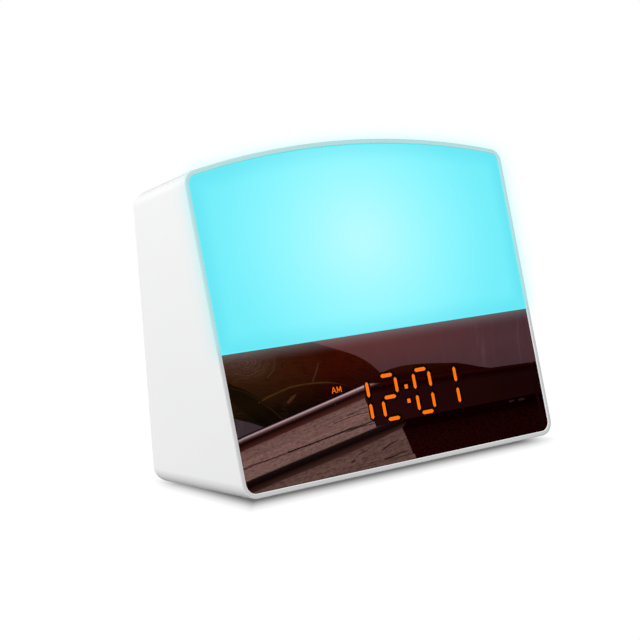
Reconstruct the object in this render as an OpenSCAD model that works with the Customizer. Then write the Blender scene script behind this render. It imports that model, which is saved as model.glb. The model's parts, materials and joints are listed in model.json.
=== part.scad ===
// Sunrise alarm clock: a one-piece white housing with a leaning, arched front,
// a lit diffuser above a dark mirror display, and a rear cover with controls,
// speaker, backup cells and power inlet.
//
// Row frame: X to the right seen from the front, Y to the back, Z up,
// origin on the supporting surface at the centre of the bounding box.
// Face frame: x as above, n = depth behind the leaning front face, v = height along it.

/* [Housing] */
// Width of the front face at mid height
body_w = 165; // [150:1:180]
// Height of the front face along its slope, at the top corners
face_h = 127.6; // [120:0.1:135]
// Rise of the arched top above its corners
arch_rise = 9.1; // [6:0.1:12]
// Depth of the flat bottom
body_d = 67.4; // [64:0.1:76]
// How far the front face leans back, in degrees
lean = 12.5; // [10:0.5:14]
// Flare of each side towards the top, in degrees
flare = 0.33; // [0:0.01:0.5]
// Wall thickness, which is also the width of the front rim
wall = 2.0; // [1.8:0.1:2.4]
// Outside radius of the two bottom corners of the face
r_bottom = 6.3; // [5:0.1:8]
// Outside radius of the two top corners of the face
r_top = 5.6; // [4:0.1:8]
// Radius of the rear edges, top and bottom
r_rear = 4; // [3:0.1:6]
// Height of the rear edge of the underside over the table
foot_h = 0.6; // [0.4:0.1:1]
// How much higher the underside is at the front than at the back
drop = 2.2; // [0:0.1:3]

/* [Front panels] */
// Height of the joint between the diffuser and the mirror, along the face
split_v = 56.3; // [52:0.1:62]
// Thickness of the diffuser panel
panel_t = 2.5; // [2:0.1:3]
// Thickness of the mirror panel
lens_t = 1; // [0.8:0.1:2.5]
// How far the panels sit below the rim
panel_in = 0.3; // [0.2:0.1:0.6]

/* [Display] */
// Height of a digit, between the centres of its top and bottom bars
digit_h = 17.9; // [16:0.1:20]
// Width of a digit, between the centres of its upright bars
digit_w = 8.4; // [7:0.1:10]
// Width of a lit bar
bar_w = 1.5; // [1.2:0.1:2.2]

/* [Rear controls] */
// Distance between neighbouring buttons
button_pitch = 17; // [16:0.5:18]
// Travel of a push button
button_travel = 0.8; // [0.5:0.1:0.9]
// Travel of the snooze bar
snooze_travel = 0.8; // [0.5:0.1:0.9]

/* [Hidden] */

$fn = 48;
EPS = 0.01;
half_w = body_w/2;
apex_v = face_h + arch_rise;
arch_r = half_w*half_w/(2*arch_rise) + arch_rise/2;
arch_c = apex_v - arch_r;
sn = sin(lean);
cs = cos(lean);
ledge_n = 4.5;                       // front of the housing's ledge
flange_n = panel_in + panel_t + 0.2; // front of the flange that carries the diffuser
mirror_n = panel_in + lens_t + 0.2;  // front of the frame that carries the mirror
lift = foot_h + drop;                // height of the front bottom edge
tilt = atan(drop/body_d);
back_y = body_d;
cover_t = 2.0;
rear_in = 8;                         // rear opening, measured in from the outline
rear_apex = (apex_v - body_d*sn)/cs;
rear_r = arch_r*cs;
screw_x = 67.5;
screw_z = [16, 102];
btn_z = 95;
spk = [-36, 52];
jack = [-58, 20];
button_n = 6;                        // push buttons in the row
post_x = 52.9;                       // posts of the button board
cell_d = 10.5;                       // AAA cell
cell_l = 44.5;                       // AAA cell with its terminal
bay_x = [8, 57.2];
bay_mid = (bay_x[0] + bay_x[1])/2;
bay_z = [40.5, 64.5];
door_x = [bay_mid - 28, bay_mid + 28];
door_top = 68;
pivot_y = 66.2;
pivot_z = 39.4;
digit_x = [-17.84, -2.82, 15.34, 29.4];
digit_v = 29;
colon_x = 6.42;
bar_n = panel_in + lens_t + 0.05;    // the bars lie just behind the mirror panel
std_y = 51.4;                        // rear face of the main board

// ---------- helpers ----------
function arc(cx, cy, r, a0, a1, n) = [for (i = [0:n]) let (a = a0 + (a1 - a0)*i/n) [cx + r*cos(a), cy + r*sin(a)]];
// x of the side line at height v, measured in by e
function side_x(v, e) = half_w - 0.37 + v*tan(flare) - e/cos(flare);
// outline of the face (x, v), measured in by e, with its bottom at v0
function face_pts(e, v0, rb, rt) =
  let (cbx = side_x(v0 + rb, e) - rb/cos(flare), cby = v0 + rb,
       tx1 = side_x(face_h - rt, e) - rt/cos(flare),
       ty1 = arch_c + sqrt(pow(arch_r - e - rt, 2) - tx1*tx1),
       tx = side_x(ty1, e) - rt/cos(flare),
       ty = arch_c + sqrt(pow(arch_r - e - rt, 2) - tx*tx),
       a1 = atan2(ty - arch_c, tx),
       right = concat(arc(cbx, cby, rb, -90, -flare, 8), arc(tx, ty, rt, -flare, a1, 8)),
       top = [for (i = [1:35]) let (a = a1 + (180 - 2*a1)*i/36) [(arch_r - e)*cos(a), arch_c + (arch_r - e)*sin(a)]],
       left = [for (i = [len(right) - 1:-1:0]) [-right[i][0], right[i][1]]])
  concat(right, top, left);
// the same kind of outline in the plane of the back (x, z), measured in by e
function rear_pts(e, z0, r) =
  let (hx = half_w - e, cy0 = rear_apex - rear_r,
       tx = hx - r, ty = cy0 + sqrt(pow(rear_r - e - r, 2) - tx*tx),
       a1 = atan2(ty - cy0, tx),
       right = concat(arc(hx - r, z0 + r, r, -90, 0, 6), arc(tx, ty, r, 0, a1, 6)),
       top = [for (i = [1:23]) let (a = a1 + (180 - 2*a1)*i/24) [(rear_r - e)*cos(a), cy0 + (rear_r - e)*sin(a)]],
       left = [for (i = [len(right) - 1:-1:0]) [-right[i][0], right[i][1]]])
  concat(right, top, left);

module stand() { translate([0, -body_d/2, lift]) children(); }
module face() { stand() rotate([-lean, 0, 0]) children(); }
// 2D (x, up) drawing made into a plate between depths d0 and d1
module plate(d0, d1) { translate([0, d1, 0]) rotate([90, 0, 0]) linear_extrude(height = d1 - d0) children(); }
module box(a, b) { translate([min(a[0], b[0]), min(a[1], b[1]), min(a[2], b[2])]) cube([abs(b[0] - a[0]), abs(b[1] - a[1]), abs(b[2] - a[2])]); }
module stadium(w, h) { union() { square([w - h, h], center = true); for (s = [-1, 1]) translate([s*(w - h)/2, 0]) circle(d = h); } }
// round boss or hole along the depth axis at (x, up)
module rod(x, z, r, d0, d1) { translate([x, d0, z]) rotate([-90, 0, 0]) cylinder(r = r, h = d1 - d0); }
// pan head screw with a cross recess, along the depth axis: the head sits on h0, the shank ends at s1
module screw(x, z, rs, rh, hh, h0, s1) {
  dir = s1 > h0 ? 1 : -1;
  difference() {
    union() {
      rod(x, z, rh, min(h0, h0 - dir*hh), max(h0, h0 - dir*hh));
      rod(x, z, rs, min(h0, s1), max(h0, s1));
    }
    for (a = [0, 90]) translate([x, h0 - dir*hh, z]) rotate([0, a, 0]) cube([rh*1.1, 1.3, 0.6], center = true);
  }
}

// ---------- outer form ----------
// e is measured in from the outside; f pushes the front plane out; the underside falls towards the back
module form(e, f) {
  z0 = (e/cos(tilt) + tan(tilt)*f/cs)/(1 + tan(tilt)*sn/cs);
  yc = body_d - r_rear;
  zc = (e + (r_rear - e))/cos(tilt) - yc*tan(tilt);
  intersection() {
    stand() translate([-100, 0, 0]) rotate([90, 0, 90]) linear_extrude(height = 200)
      polygon(concat([[z0*sn/cs - f/cs, z0]],
        arc(yc, zc, r_rear - e, -90 - tilt, 0, 8),
        [[body_d - e, 160], [160*sn/cs - f/cs, 160]]));
    face() plate(-f - 1, body_d*1.3) polygon(face_pts(e, e - 20, 0.5, r_top - e));
    face_round(e, f);
    dome(e);
  }
}
// rounds the two long bottom edges
module face_round(e, f) {
  hx = side_x(0, e);
  rb = r_bottom - e;
  stand() rotate([-tilt, 0, 0]) plate(-10 - f, body_d + 10)
    polygon(concat(arc(hx - rb, e + rb, rb, -90, 0, 8), [[hx + 6, e + rb + 0.01], [hx + 6, 170], [-hx - 6, 170], [-hx - 6, e + rb + 0.01]],
      arc(-hx + rb, e + rb, rb, 180, 270, 8)));
}
// rounds the arched edge between the top and the back
module dome(e) {
  g = 0.12;
  r = r_rear - e;
  a0 = 90 - lean;
  // centre of the rounding in (radius, depth)
  yc = body_d - e + g - r;
  rc = rear_r - e/cs + (body_d - yc)*sn/cs + g/cs - r/cs;
  stand() translate([0, 0, rear_apex - rear_r]) rotate([-90, 0, 0])
    rotate_extrude($fn = 180) polygon(concat([[0, -60], [rc + r/cs + (yc + 60)*sn/cs, -60]],
      [for (i = [0:8]) let (a = lean + (90 - lean)*i/8) [rc + r*cos(a), yc + r*sin(a)]],
      [[0, yc + r]]));
}

module cavity() { form(wall, 6); }
// keeps what stays g clear of the inside of the housing
module clear_of_wall(g) { intersection() { form(wall + g, 6); children(); } }

module side_boss(x, v) {
  s = sign(x);
  rod(x, v, 2.8, ledge_n, 12);
  box([x, ledge_n, v - 1.1], [s*(side_x(v, 0) - 0.8), 12, v + 1.1]);
}
CH_BOSS = [[74.3, 64], [-74.3, 64], [73.9, 119], [-73.9, 119]];
DF_BOSS = [[74.3, 11], [-74.3, 11], [74.3, 48], [-74.3, 48]];
SN_POST = [[-37, 27], [37, 27]];
FEET = [[-64, 13], [64, 13], [-64, 54], [64, 54]];
// top of a foot and of its pocket
function foot_top(y) = 0.9 - y*tan(tilt);

module housing_shell() {
  color("white") difference() {
    union() {
      difference() { form(0, 0); cavity(); }
      intersection() {
        form(0.8, 0);
        union() {
          // ledge behind the front panels
          face() plate(ledge_n, ledge_n + 1.5) difference() {
            polygon(face_pts(1, 1, 5, 5));
            polygon(face_pts(wall + 1.8, wall + 1.8, 3, 2.4));
          }
          // bosses for the two front carriers
          face() for (p = concat(CH_BOSS, DF_BOSS)) side_boss(p[0], p[1]);
          // ledge behind the rear cover
          stand() plate(back_y - cover_t - 1.5, back_y - 1) difference() {
            polygon(rear_pts(rear_in - 1.5, rear_in - 1.5, 7));
            polygon(rear_pts(rear_in + 2.5, rear_in + 2.5, 4));
          }
          // bosses for the rear cover screws
          stand() for (s = [-1, 1], z = screw_z) {
            rod(s*screw_x, z, 3.6, 50, back_y - 4.5);
            box([s*screw_x, 50, z - 1.2], [s*(half_w - 0.9), back_y - 4.5, z + 1.2]);
          }
          // posts that carry the snooze board
          face() for (p = SN_POST) translate([p[0], p[1], 123.6]) cylinder(r = 3, h = 12);
        }
      }
    }
    // rear opening
    stand() plate(back_y - cover_t, back_y + 5) polygon(rear_pts(rear_in, rear_in, 6));
    // pilot holes
    face() for (p = concat(CH_BOSS, DF_BOSS)) rod(p[0], p[1], 1.05, ledge_n - 1, 11);
    stand() for (s = [-1, 1], z = screw_z) rod(s*screw_x, z, 1.25, 53, back_y);
    face() for (p = SN_POST) translate([p[0], p[1], 123]) cylinder(r = 1.05, h = 8.5);
    // opening for the snooze bar
    face() translate([0, 27, 130]) linear_extrude(height = 12) stadium(60.6, 10.6);
    // pockets for the feet
    stand() for (p = FEET) translate([p[0], p[1], -5]) cylinder(r = 5.15, h = 5 + foot_top(p[1]));
  }
}

module rear_cover() {
  pad_y = back_y - 3.5;
  color("white") difference() {
    union() {
      stand() plate(back_y - cover_t, back_y) polygon(rear_pts(rear_in + 0.25, rear_in + 0.25, 5.75));
      // thicker pad behind the button recess
      stand() plate(pad_y, back_y - 1) translate([0, btn_z]) stadium(116, 18);
      // screw cups
      stand() for (s = [-1, 1], z = screw_z) rod(s*screw_x, z, 4.3, back_y - 4.5, back_y - 1);
      // battery bay
      stand() box([bay_x[0] - 1.4, 51.6, bay_z[0] - 1.4], [bay_x[1] + 1.4, back_y - 1, bay_z[1] + 1.4]);
      stand() box([door_x[0] - 3, back_y - 3.8, 36.2], [door_x[1] + 3, back_y - 1, 70.2]);
      // speaker ring and its screw bosses
      stand() plate(back_y - 5, back_y - 1) translate(spk) difference() { circle(r = 19.8); circle(r = 18.3); }
      stand() for (a = [90, 210, 330]) rod(spk[0] + 21.6*cos(a), spk[1] + 21.6*sin(a), 2.4, back_y - 4.1, back_y - 1);
      // posts for the main board
      stand() for (p = MB_POST) rod(p[0], p[1], 3, std_y, back_y - 1);
      // posts for the button board
      stand() for (s = [-1, 1]) rod(s*post_x, btn_z, 2.6, 55.6, back_y - 2);
      // collar around the power jack
      stand() plate(back_y - 3, back_y - 1) translate(jack) circle(r = 7);
    }
    // button recess and holes
    stand() plate(back_y - 1.5, back_y + 1) translate([0, btn_z]) stadium(112, 14);
    stand() plate(50, back_y + 1) for (i = [0:button_n - 1]) translate([(i - (button_n - 1)/2)*button_pitch, btn_z]) stadium(12.5, 6.5);
    // screw recesses
    stand() for (s = [-1, 1], z = screw_z) { rod(s*screw_x, z, 3.1, back_y - 3, back_y + 1); rod(s*screw_x, z, 1.5, 50, back_y); }
    // door recess, bay and pivot sockets
    stand() box([door_x[0] - 0.3, back_y - 2.6, pivot_z - 1.5], [door_x[1] + 0.3, back_y + 1, door_top + 0.3]);
    stand() box([bay_x[0], 53, bay_z[0]], [bay_x[1], back_y + 1, bay_z[1]]);
    stand() translate([door_x[0] - 2.1, pivot_y, pivot_z]) rotate([0, 90, 0]) cylinder(r = 0.86, h = door_x[1] - door_x[0] + 4.2);
    // finger notch above the door
    stand() translate([bay_mid, back_y + 1.2, door_top + 0.3]) rotate([0, 90, 0]) cylinder(r = 2.6, h = 14, center = true);
    // holes for the battery wires
    stand() for (z = [44, 61]) translate([bay_x[0] - 2, 60, z]) rotate([0, 90, 0]) cylinder(r = 0.95, h = 3);
    // speaker grille
    stand() plate(40, back_y + 1) for (i = [-4:4]) translate([spk[0], spk[1] + i*3.3]) stadium(2*sqrt(15.2*15.2 - i*i*3.3*3.3), 1.7);
    stand() for (a = [90, 210, 330]) rod(spk[0] + 21.6*cos(a), spk[1] + 21.6*sin(a), 0.9, 50, back_y - 1);
    // vents
    stand() plate(60, back_y + 1) for (i = [0:9]) translate([bay_mid + (i - 4.5)*4.2, 20]) rotate([0, 0, 90]) stadium(10, 1.7);
    // pilot holes in the board posts
    stand() for (p = MB_POST) rod(p[0], p[1], 1.05, 50, 60);
    stand() for (s = [-1, 1]) rod(s*post_x, btn_z, 0.95, 55, 61.5);
    // power jack hole
    stand() rod(jack[0], jack[1], 4.6, 50, back_y + 1);
  }
}
MB_POST = [[57, 72.5], [-59, 78.5], [57, 16], [-40, 16]];

module panel(v0, v1, t) {
  clear_of_wall(0.1) face() plate(panel_in, panel_in + t) intersection() {
    polygon(face_pts(wall + 0.1, wall + 0.1, r_bottom - wall - 0.1, r_top - wall - 0.1));
    translate([-100, v0]) square([200, v1 - v0]);
  }
}
module light_diffuser() { color("paleturquoise") panel(split_v + 0.07, 200, panel_t); }
module mirror_lens() { color([0.08, 0.03, 0.03]) panel(-10, split_v - 0.07, lens_t); }
module panel_adhesive() {
  color("dimgray") clear_of_wall(0.5) face() {
    plate(panel_in + panel_t, flange_n) difference() {
      intersection() { polygon(face_pts(wall + 0.5, wall + 0.5, 3.8, 3.1)); translate([-100, split_v + 0.5]) square([200, 100]); }
      polygon(face_pts(5, split_v + 2, 2, 2));
    }
    plate(panel_in + lens_t, mirror_n) difference() {
      intersection() { polygon(face_pts(wall + 0.5, wall + 0.5, 3.8, 3.1)); translate([-100, -20]) square([200, split_v + 19.5]); }
      intersection() { polygon(face_pts(5, 5, 2, 2)); translate([-100, 0]) square([200, split_v - 2]); }
    }
  }
}

module light_chamber() {
  color("whitesmoke") difference() {
    union() {
      face() plate(flange_n, ledge_n) intersection() {
        polygon(face_pts(wall + 0.3, wall + 0.3, 4, 3.2));
        translate([-100, split_v + 0.4]) square([200, 100]);
      }
      face() plate(ledge_n - 0.2, 18) polygon(face_pts(11.2, split_v + 4, 3, 3));
    }
    face() plate(0, 16.6) polygon(face_pts(12.6, split_v + 5.4, 2, 2));
    face() for (p = CH_BOSS) { rod(p[0], p[1], 1.4, 0, 10); rod(p[0], p[1], 2.6, 0, flange_n + 0.9); }
    face() for (p = LB_HOLE) rod(p[0], p[1], 0.95, 10, 17.6);
    // cable opening
    face() box([34, 10, 62.5], [48, 20, 66]);
  }
}
LB_HOLE = [[-56, 74], [56, 74], [-56, 108], [56, 108]];
module led_board() {
  color("gainsboro") face() plate(15, 16.6) difference() {
    translate([-60, 70]) square([120, 42]);
    for (p = LB_HOLE) translate(p) circle(r = 1.3);
  }
}
module led_chips() {
  color("lemonchiffon") face() for (i = [-3:3], j = [0:2])
    translate([i*15, 14.2, 79 + j*12]) { box([-1.75, 0, -1.4], [1.75, 0.8, 1.4]); }
}
module led_board_screws() { color("silver") face() for (p = LB_HOLE) screw(p[0], p[1], 0.92, 1.9, 1.2, 15, 17.5); }
module carrier_screws() {
  color("silver") face() {
    for (p = CH_BOSS) screw(p[0], p[1], 1.02, 2.3, 0.8, flange_n + 0.9, 10);
    for (p = DF_BOSS) screw(p[0], p[1], 1.02, 2.3, 0.8, flange_n + 0.9, 10);
  }
}

DB_BOSS = [[-42, 11.5], [-42, 46.5], [47, 11.5], [47, 46.5]];
module display_frame() {
  color([0.09, 0.09, 0.1]) difference() {
    union() {
      clear_of_wall(0.3) face() plate(mirror_n, ledge_n) intersection() {
        polygon(face_pts(wall + 0.3, wall + 0.3, 4, 3.2));
        translate([-100, 0]) square([200, split_v - 0.4]);
      }
      face() for (p = DB_BOSS) rod(p[0], p[1], 2.4, ledge_n - 0.2, 9);
    }
    face() box([-34, 0, 15.1], [39, 20, 43.1]);
    face() for (p = DF_BOSS) { rod(p[0], p[1], 1.4, 0, 10); rod(p[0], p[1], 2.6, 0, flange_n + 0.9); }
    face() for (p = DB_BOSS) rod(p[0], p[1], 0.95, flange_n + 0.6, 10);
  }
}
module display_block() {
  color([0.05, 0.05, 0.055]) face() box([-33.6, bar_n + 0.2, 15.5], [38.6, 9, 42.7]);
}
// a bar with pointed ends, l long and w wide
module bar(l, w) { polygon([[-l/2, 0], [-l/2 + w/2, -w/2], [l/2 - w/2, -w/2], [l/2, 0], [l/2 - w/2, w/2], [-l/2 + w/2, w/2]]); }
// bars a to g of the digit at x, those whose letter is in on
module digit(x, on) {
  dy = digit_h/2;
  for (k = on) translate([x, digit_v]) {
    if (k == "a") translate([0, dy]) bar(6.1, bar_w);
    if (k == "g") bar(6.1, bar_w);
    if (k == "d") translate([0, -dy]) bar(6.1, bar_w);
    if (k == "b") translate([digit_w/2, dy/2]) rotate(90) bar(6.3, bar_w - 0.15);
    if (k == "f") translate([-digit_w/2, dy/2]) rotate(90) bar(6.3, bar_w - 0.15);
    if (k == "c") translate([digit_w/2, -dy/2]) rotate(90) bar(6.3, bar_w - 0.15);
    if (k == "e") translate([-digit_w/2, -dy/2]) rotate(90) bar(6.3, bar_w - 0.15);
  }
}
module digit_bars_lit() {
  color("darkorange") face() plate(bar_n, bar_n + 0.2) {
    digit(digit_x[0], ["b", "c"]);
    digit(digit_x[1], ["a", "b", "g", "e", "d"]);
    for (s = [-1, 1]) translate([colon_x, 29 + s*3]) square([1.5, 1.7], center = true);
    digit(digit_x[2], ["a", "b", "c", "d", "e", "f"]);
    digit(digit_x[3], ["b", "c"]);
  }
}
module digit_bars_unlit() {
  color([0.16, 0.13, 0.12]) face() plate(bar_n, bar_n + 0.2) {
    digit(digit_x[0], ["a", "d", "e", "f", "g"]);
    digit(digit_x[1], ["c", "f"]);
    digit(digit_x[2], ["g"]);
    digit(digit_x[3], ["a", "d", "e", "f", "g"]);
  }
}
module stroke(a, b, w) {
  l = norm([b[0] - a[0], b[1] - a[1]]);
  translate(a) rotate(atan2(b[1] - a[1], b[0] - a[0])) translate([0, -w/2]) square([l, w]);
}
module am_indicator() {
  color("darkorange") face() translate([-31.4, 0, 34.5]) plate(bar_n, bar_n + 0.2) scale(0.88) {
    union() { stroke([0, 0], [1.05, 2.8], 0.33); stroke([2.25, 0], [1.05, 2.8], 0.33); stroke([0.45, 0.95], [1.8, 0.95], 0.3); }
    translate([2.85, 0]) union() { stroke([0.2, 0], [0.2, 2.8], 0.33); stroke([2.3, 0], [2.3, 2.8], 0.33); stroke([0.2, 2.7], [1.25, 0.6], 0.33); stroke([2.3, 2.7], [1.25, 0.6], 0.33); }
  }
}
module display_board() {
  color("darkgreen") face() plate(9, 10.6) difference() {
    translate([-46, 8]) square([97, 42]);
    for (p = DB_BOSS) translate(p) circle(r = 1.3);
  }
}
module display_board_screws() { color("silver") face() for (p = DB_BOSS) screw(p[0], p[1], 0.92, 1.9, 1.2, 10.6, 5.2); }

// flat ribbon cable: path in (y, z) of the stand frame, from x0, w wide
module ribbon(path, x0, w, t) {
  stand() translate([x0, 0, 0]) rotate([90, 0, 90]) linear_extrude(height = w) union() {
    for (i = [0:len(path) - 2]) stroke2(path[i], path[i + 1], t);
    for (i = [1:len(path) - 2]) translate(path[i]) circle(d = t);
  }
}
module stroke2(a, b, w) {
  l = norm([b[0] - a[0], b[1] - a[1]]);
  translate(a) rotate(atan2(b[1] - a[1], b[0] - a[0])) translate([0, -w/2]) square([l, w]);
}
module display_ribbon() { color("lightgray") ribbon([[15.7, 19], [23, 16.6], [34, 16], [42, 20], [49.55, 23.9]], -6, 14, 0.8); }
module led_ribbon() { color("lightgray") ribbon([[33.9, 60.9], [37, 63.5], [42, 62], [46, 58], [49.65, 57.1]], 36, 10, 0.8); }

module button_ribbon() { color("lightgray") ribbon([[53.6, 99], [53.6, 91], [51.8, 79], [51.8, 70]], -8, 14, 0.8); }

// smooth curve through the points of a path, k steps between two points
function curve_pt(a, b, c, d, t) = 0.5*(2*b + (c - a)*t + (2*a - 5*b + 4*c - d)*t*t + (3*b - a - 3*c + d)*t*t*t);
function curve(p, k) = let (m = len(p) - 1)
  concat([for (i = [0:m - 1], j = [0:k - 1]) curve_pt(p[max(i - 1, 0)], p[i], p[i + 1], p[min(i + 2, m)], j/k)], [p[m]]);
function unit(a) = a/norm(a);
// insulated wire of radius r along a path of points (x, y, z) of the stand frame
module wire(path, r) {
  p = curve(path, 4);
  m = len(p) - 1;
  k = 8;
  stand() polyhedron(
    points = [for (i = [0:m]) let (t = unit(p[min(i + 1, m)] - p[max(i - 1, 0)]), u = unit(cross(t, [0.35, 0.9, -0.2])), w = cross(t, u))
      for (j = [0:k - 1]) p[i] + r*cos(360*j/k)*u + r*sin(360*j/k)*w],
    faces = concat([for (i = [0:m - 1], j = [0:k - 1]) let (a = i*k + j, b = i*k + (j + 1)%k) [a, a + k, b + k, b]],
      [[for (j = [0:k - 1]) j]], [[for (j = [k - 1:-1:0]) m*k + j]]));
}
wire_r = 0.6;
module snooze_wires() {
  color("firebrick") for (x = [-19.5, -16.5]) wire([[x, 50.5, 113.4], [x, 50.6, 110], [x, 51.6, 98], [x, 53, 86], [x, 53.4, 79], [x, 53.4, 75.02]], wire_r);
}
module speaker_wires() {
  color("firebrick") for (s = [-1, 1]) wire([[-36 + s*1.5, 62.1, 35.6], [-36 + s*1.5, 60.4, 35.6], [-35.6 + s*1.5, 55.6, 34.2], [-35 + s*1.5, 53.4, 31.2], [-35 + s*1.5, 53.4, 29.06]], wire_r);
}
module battery_wires() {
  color("firebrick") {
    wire([[bay_x[0], 60, 44], [4.6, 60, 44], [1.6, 57.4, 41], [1, 53.8, 37], [1, 53.4, 33.02]], wire_r);
    wire([[bay_x[0], 60, 61], [4.2, 60, 61], [0, 58.6, 56], [-2, 55, 44], [-2, 53.4, 37.5], [-2, 53.4, 33.02]], wire_r);
  }
}
// white sockets on the rear face of the main board
SOCKETS = [[-22, 71], [-39, 25], [-5, 29]];
module board_sockets() {
  color("ivory") stand() for (p = SOCKETS) box([p[0], std_y, p[1]], [p[0] + 8, std_y + 4, p[1] + 4]);
}

module main_board() {
  color("darkgreen") stand() plate(std_y - 1.6, std_y) difference() {
    union() { translate([-63.4, 12]) square([125.4, 64]); translate([-63.4, 70]) square([11.4, 13]); }
    for (p = MB_POST) translate(p) circle(r = 1.4);
  }
}
module processor_chip() { color([0.08, 0.08, 0.09]) stand() box([-8, std_y - 3.4, 44], [4, std_y - 1.6, 56]); }
module board_chips() {
  color([0.1, 0.1, 0.11]) stand() for (p = [[14, 38, 8, 5], [-24, 34, 6, 5], [-34, 60, 9, 6], [20, 66, 5, 4], [-46, 30, 7, 7], [50, 48, 6, 8]])
    box([p[0], std_y - 3.2, p[1]], [p[0] + p[2], std_y - 1.6, p[1] + p[3]]);
}
module capacitors() {
  color("midnightblue") stand() for (p = [[-54, 48], [-54, 60], [30, 30], [-14, 70]]) rod(p[0], p[1], 3.2, std_y - 10.6, std_y - 1.6);
}
module main_board_screws() { color("silver") stand() for (p = MB_POST) screw(p[0], p[1], 1.02, 2.3, 1.4, std_y - 1.6, 59); }

module button_board() {
  color("darkgreen") stand() plate(54, 55.6) difference() {
    translate([-56, 88]) square([112, 14]);
    for (s = [-1, 1]) translate([s*post_x, btn_z]) circle(r = 1.3);
  }
}
module tact(h, r, d) { difference() { box([-3.1, 0, -3.1], [3.1, h, 3.1]); rod(0, 0, r, h - d, h + 1); } }
module rear_switches() {
  color([0.12, 0.12, 0.13]) stand() for (i = [0:button_n - 1])
    translate([(i - (button_n - 1)/2)*button_pitch, 55.6, btn_z]) tact(3.5, 1.95, 2.2);
}
module button_board_screws() { color("silver") stand() for (s = [-1, 1]) screw(s*post_x, btn_z, 0.92, 1.9, 1.2, 54, 60.5); }
// push button i: cap, retaining flange and stem
module push_button(i) {
  color("gainsboro") stand() translate([(i - (button_n - 1)/2)*button_pitch, 0, btn_z]) {
    plate(63.7, back_y - 0.3) stadium(12, 6);
    plate(62.2, 63.8) stadium(14, 8);
    rod(0, 0, 1.6, 58.3, 62.3);
  }
}
module set_button() { push_button(5); }
module alarm_button() { push_button(4); }
module light_button() { push_button(3); }
module sound_button() { push_button(2); }
module minus_button() { push_button(1); }
module plus_button() { push_button(0); }

module snooze_bar() {
  color("gainsboro") face() {
    intersection() {
      translate([0, 27, 132]) linear_extrude(height = 8) stadium(60, 10);
      plate(15, 40) polygon(face_pts(-0.6, 0, 1, 1));
    }
    translate([0, 27, 130.9]) linear_extrude(height = 1.5) stadium(64, 12.4);
    translate([0, 27, 126.6]) cylinder(r = 1.6, h = 5);
  }
}
module snooze_board() {
  color("darkgreen") face() difference() {
    translate([-42, 21.5, 122]) cube([84, 11, 1.6]);
    for (p = SN_POST) translate([p[0], p[1], 121]) cylinder(r = 1.3, h = 4);
  }
}
module snooze_switch() {
  color([0.12, 0.12, 0.13]) face() translate([0, 27, 123.6]) difference() {
    translate([-3.1, -3.1, 0]) cube([6.2, 6.2, 4]);
    translate([0, 0, 1.9]) cylinder(r = 1.95, h = 3);
  }
}
module snooze_board_screws() {
  color("silver") face() for (p = SN_POST) translate([p[0], p[1], 0]) difference() {
    union() { translate([0, 0, 120.8]) cylinder(r = 2.2, h = 1.2); translate([0, 0, 121.9]) cylinder(r = 1.02, h = 7.6); }
    for (a = [0, 90]) translate([0, 0, 120.8]) rotate([0, 0, a]) cube([2.4, 0.6, 1.2], center = true);
  }
}

module speaker_basket() {
  color([0.2, 0.2, 0.21]) stand() translate([spk[0], 0, spk[1]]) rotate([-90, 0, 0]) rotate_extrude()
    polygon([[9.3, 58], [14.6, 62.2], [18, 62.2], [18, 65.3], [15.2, 65.3], [15.2, 63.4], [14.2, 63.4], [7.4, 58.8], [3.6, 58.8], [3.6, 58], [9.3, 58]]);
}
module speaker_cone() {
  color([0.1, 0.1, 0.1]) stand() translate([spk[0], 0, spk[1]]) rotate([-90, 0, 0]) rotate_extrude()
    polygon([[0, 61.2], [3, 60.8], [5, 59.4], [6.2, 59.2], [13.6, 63.8], [15.1, 63.8], [15.1, 64.6], [13.2, 64.6], [6, 60.2], [3.3, 61.8], [0, 62.2]]);
}
module speaker_magnet() { color([0.3, 0.3, 0.31]) stand() { rod(spk[0], spk[1], 10.5, 53.2, 57.1); rod(spk[0], spk[1], 9, 57, 58); } }
module speaker_screws() {
  color("silver") stand() for (a = [90, 210, 330]) screw(spk[0] + 21.6*cos(a), spk[1] + 21.6*sin(a), 0.88, 2.2, 1.2, back_y - 5.2, 66);
}

module battery_door() {
  color("white") stand() {
    difference() {
      union() {
        box([door_x[0], back_y - 2, pivot_z], [door_x[1], back_y, door_top]);
        translate([door_x[0], pivot_y, pivot_z]) rotate([0, 90, 0]) cylinder(r = 1.2, h = door_x[1] - door_x[0]);
        translate([door_x[0] - 1.5, pivot_y, pivot_z]) rotate([0, 90, 0]) cylinder(r = 0.8, h = door_x[1] - door_x[0] + 3);
      }
      // grip ridges
      for (i = [0:3]) box([bay_mid - 8, back_y - 0.5, 60.5 + i*1.6], [bay_mid + 8, back_y + 1, 61.1 + i*1.6]);
    }
  }
}
cell_y = 53.35 + cell_d/2;
cell_z = [46.4, 58.6];
module one_cell() {
  rotate([0, 90, 0]) union() {
    cylinder(d = cell_d, h = cell_l - 1);
    cylinder(r = 1.9, h = cell_l);
  }
}
module backup_cells() {
  color("slategray") stand() {
    translate([bay_x[0] + 4, cell_y, cell_z[0]]) one_cell();
    translate([bay_x[1] - 4, cell_y, cell_z[1]]) mirror([1, 0, 0]) one_cell();
  }
}
module one_spring() {
  rotate([0, 90, 0]) union() {
    for (i = [0:4]) translate([0, 0, 0.42 + i*0.615]) rotate_extrude() translate([3.6 - i*0.4, 0]) circle(r = 0.42);
  }
}
module cell_springs() {
  color("silver") stand() {
    translate([bay_x[0] + 0.7, cell_y, cell_z[0]]) one_spring();
    translate([bay_x[1] - 0.7, cell_y, cell_z[1]]) mirror([1, 0, 0]) one_spring();
  }
}
module cell_contacts() {
  color("silver") stand() {
    box([bay_x[0] + 0.1, 54, 42], [bay_x[0] + 0.7, 63, 63]);
    box([bay_x[1] - 0.7, 54, 42], [bay_x[1] - 0.1, 63, 63]);
  }
}

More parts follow.
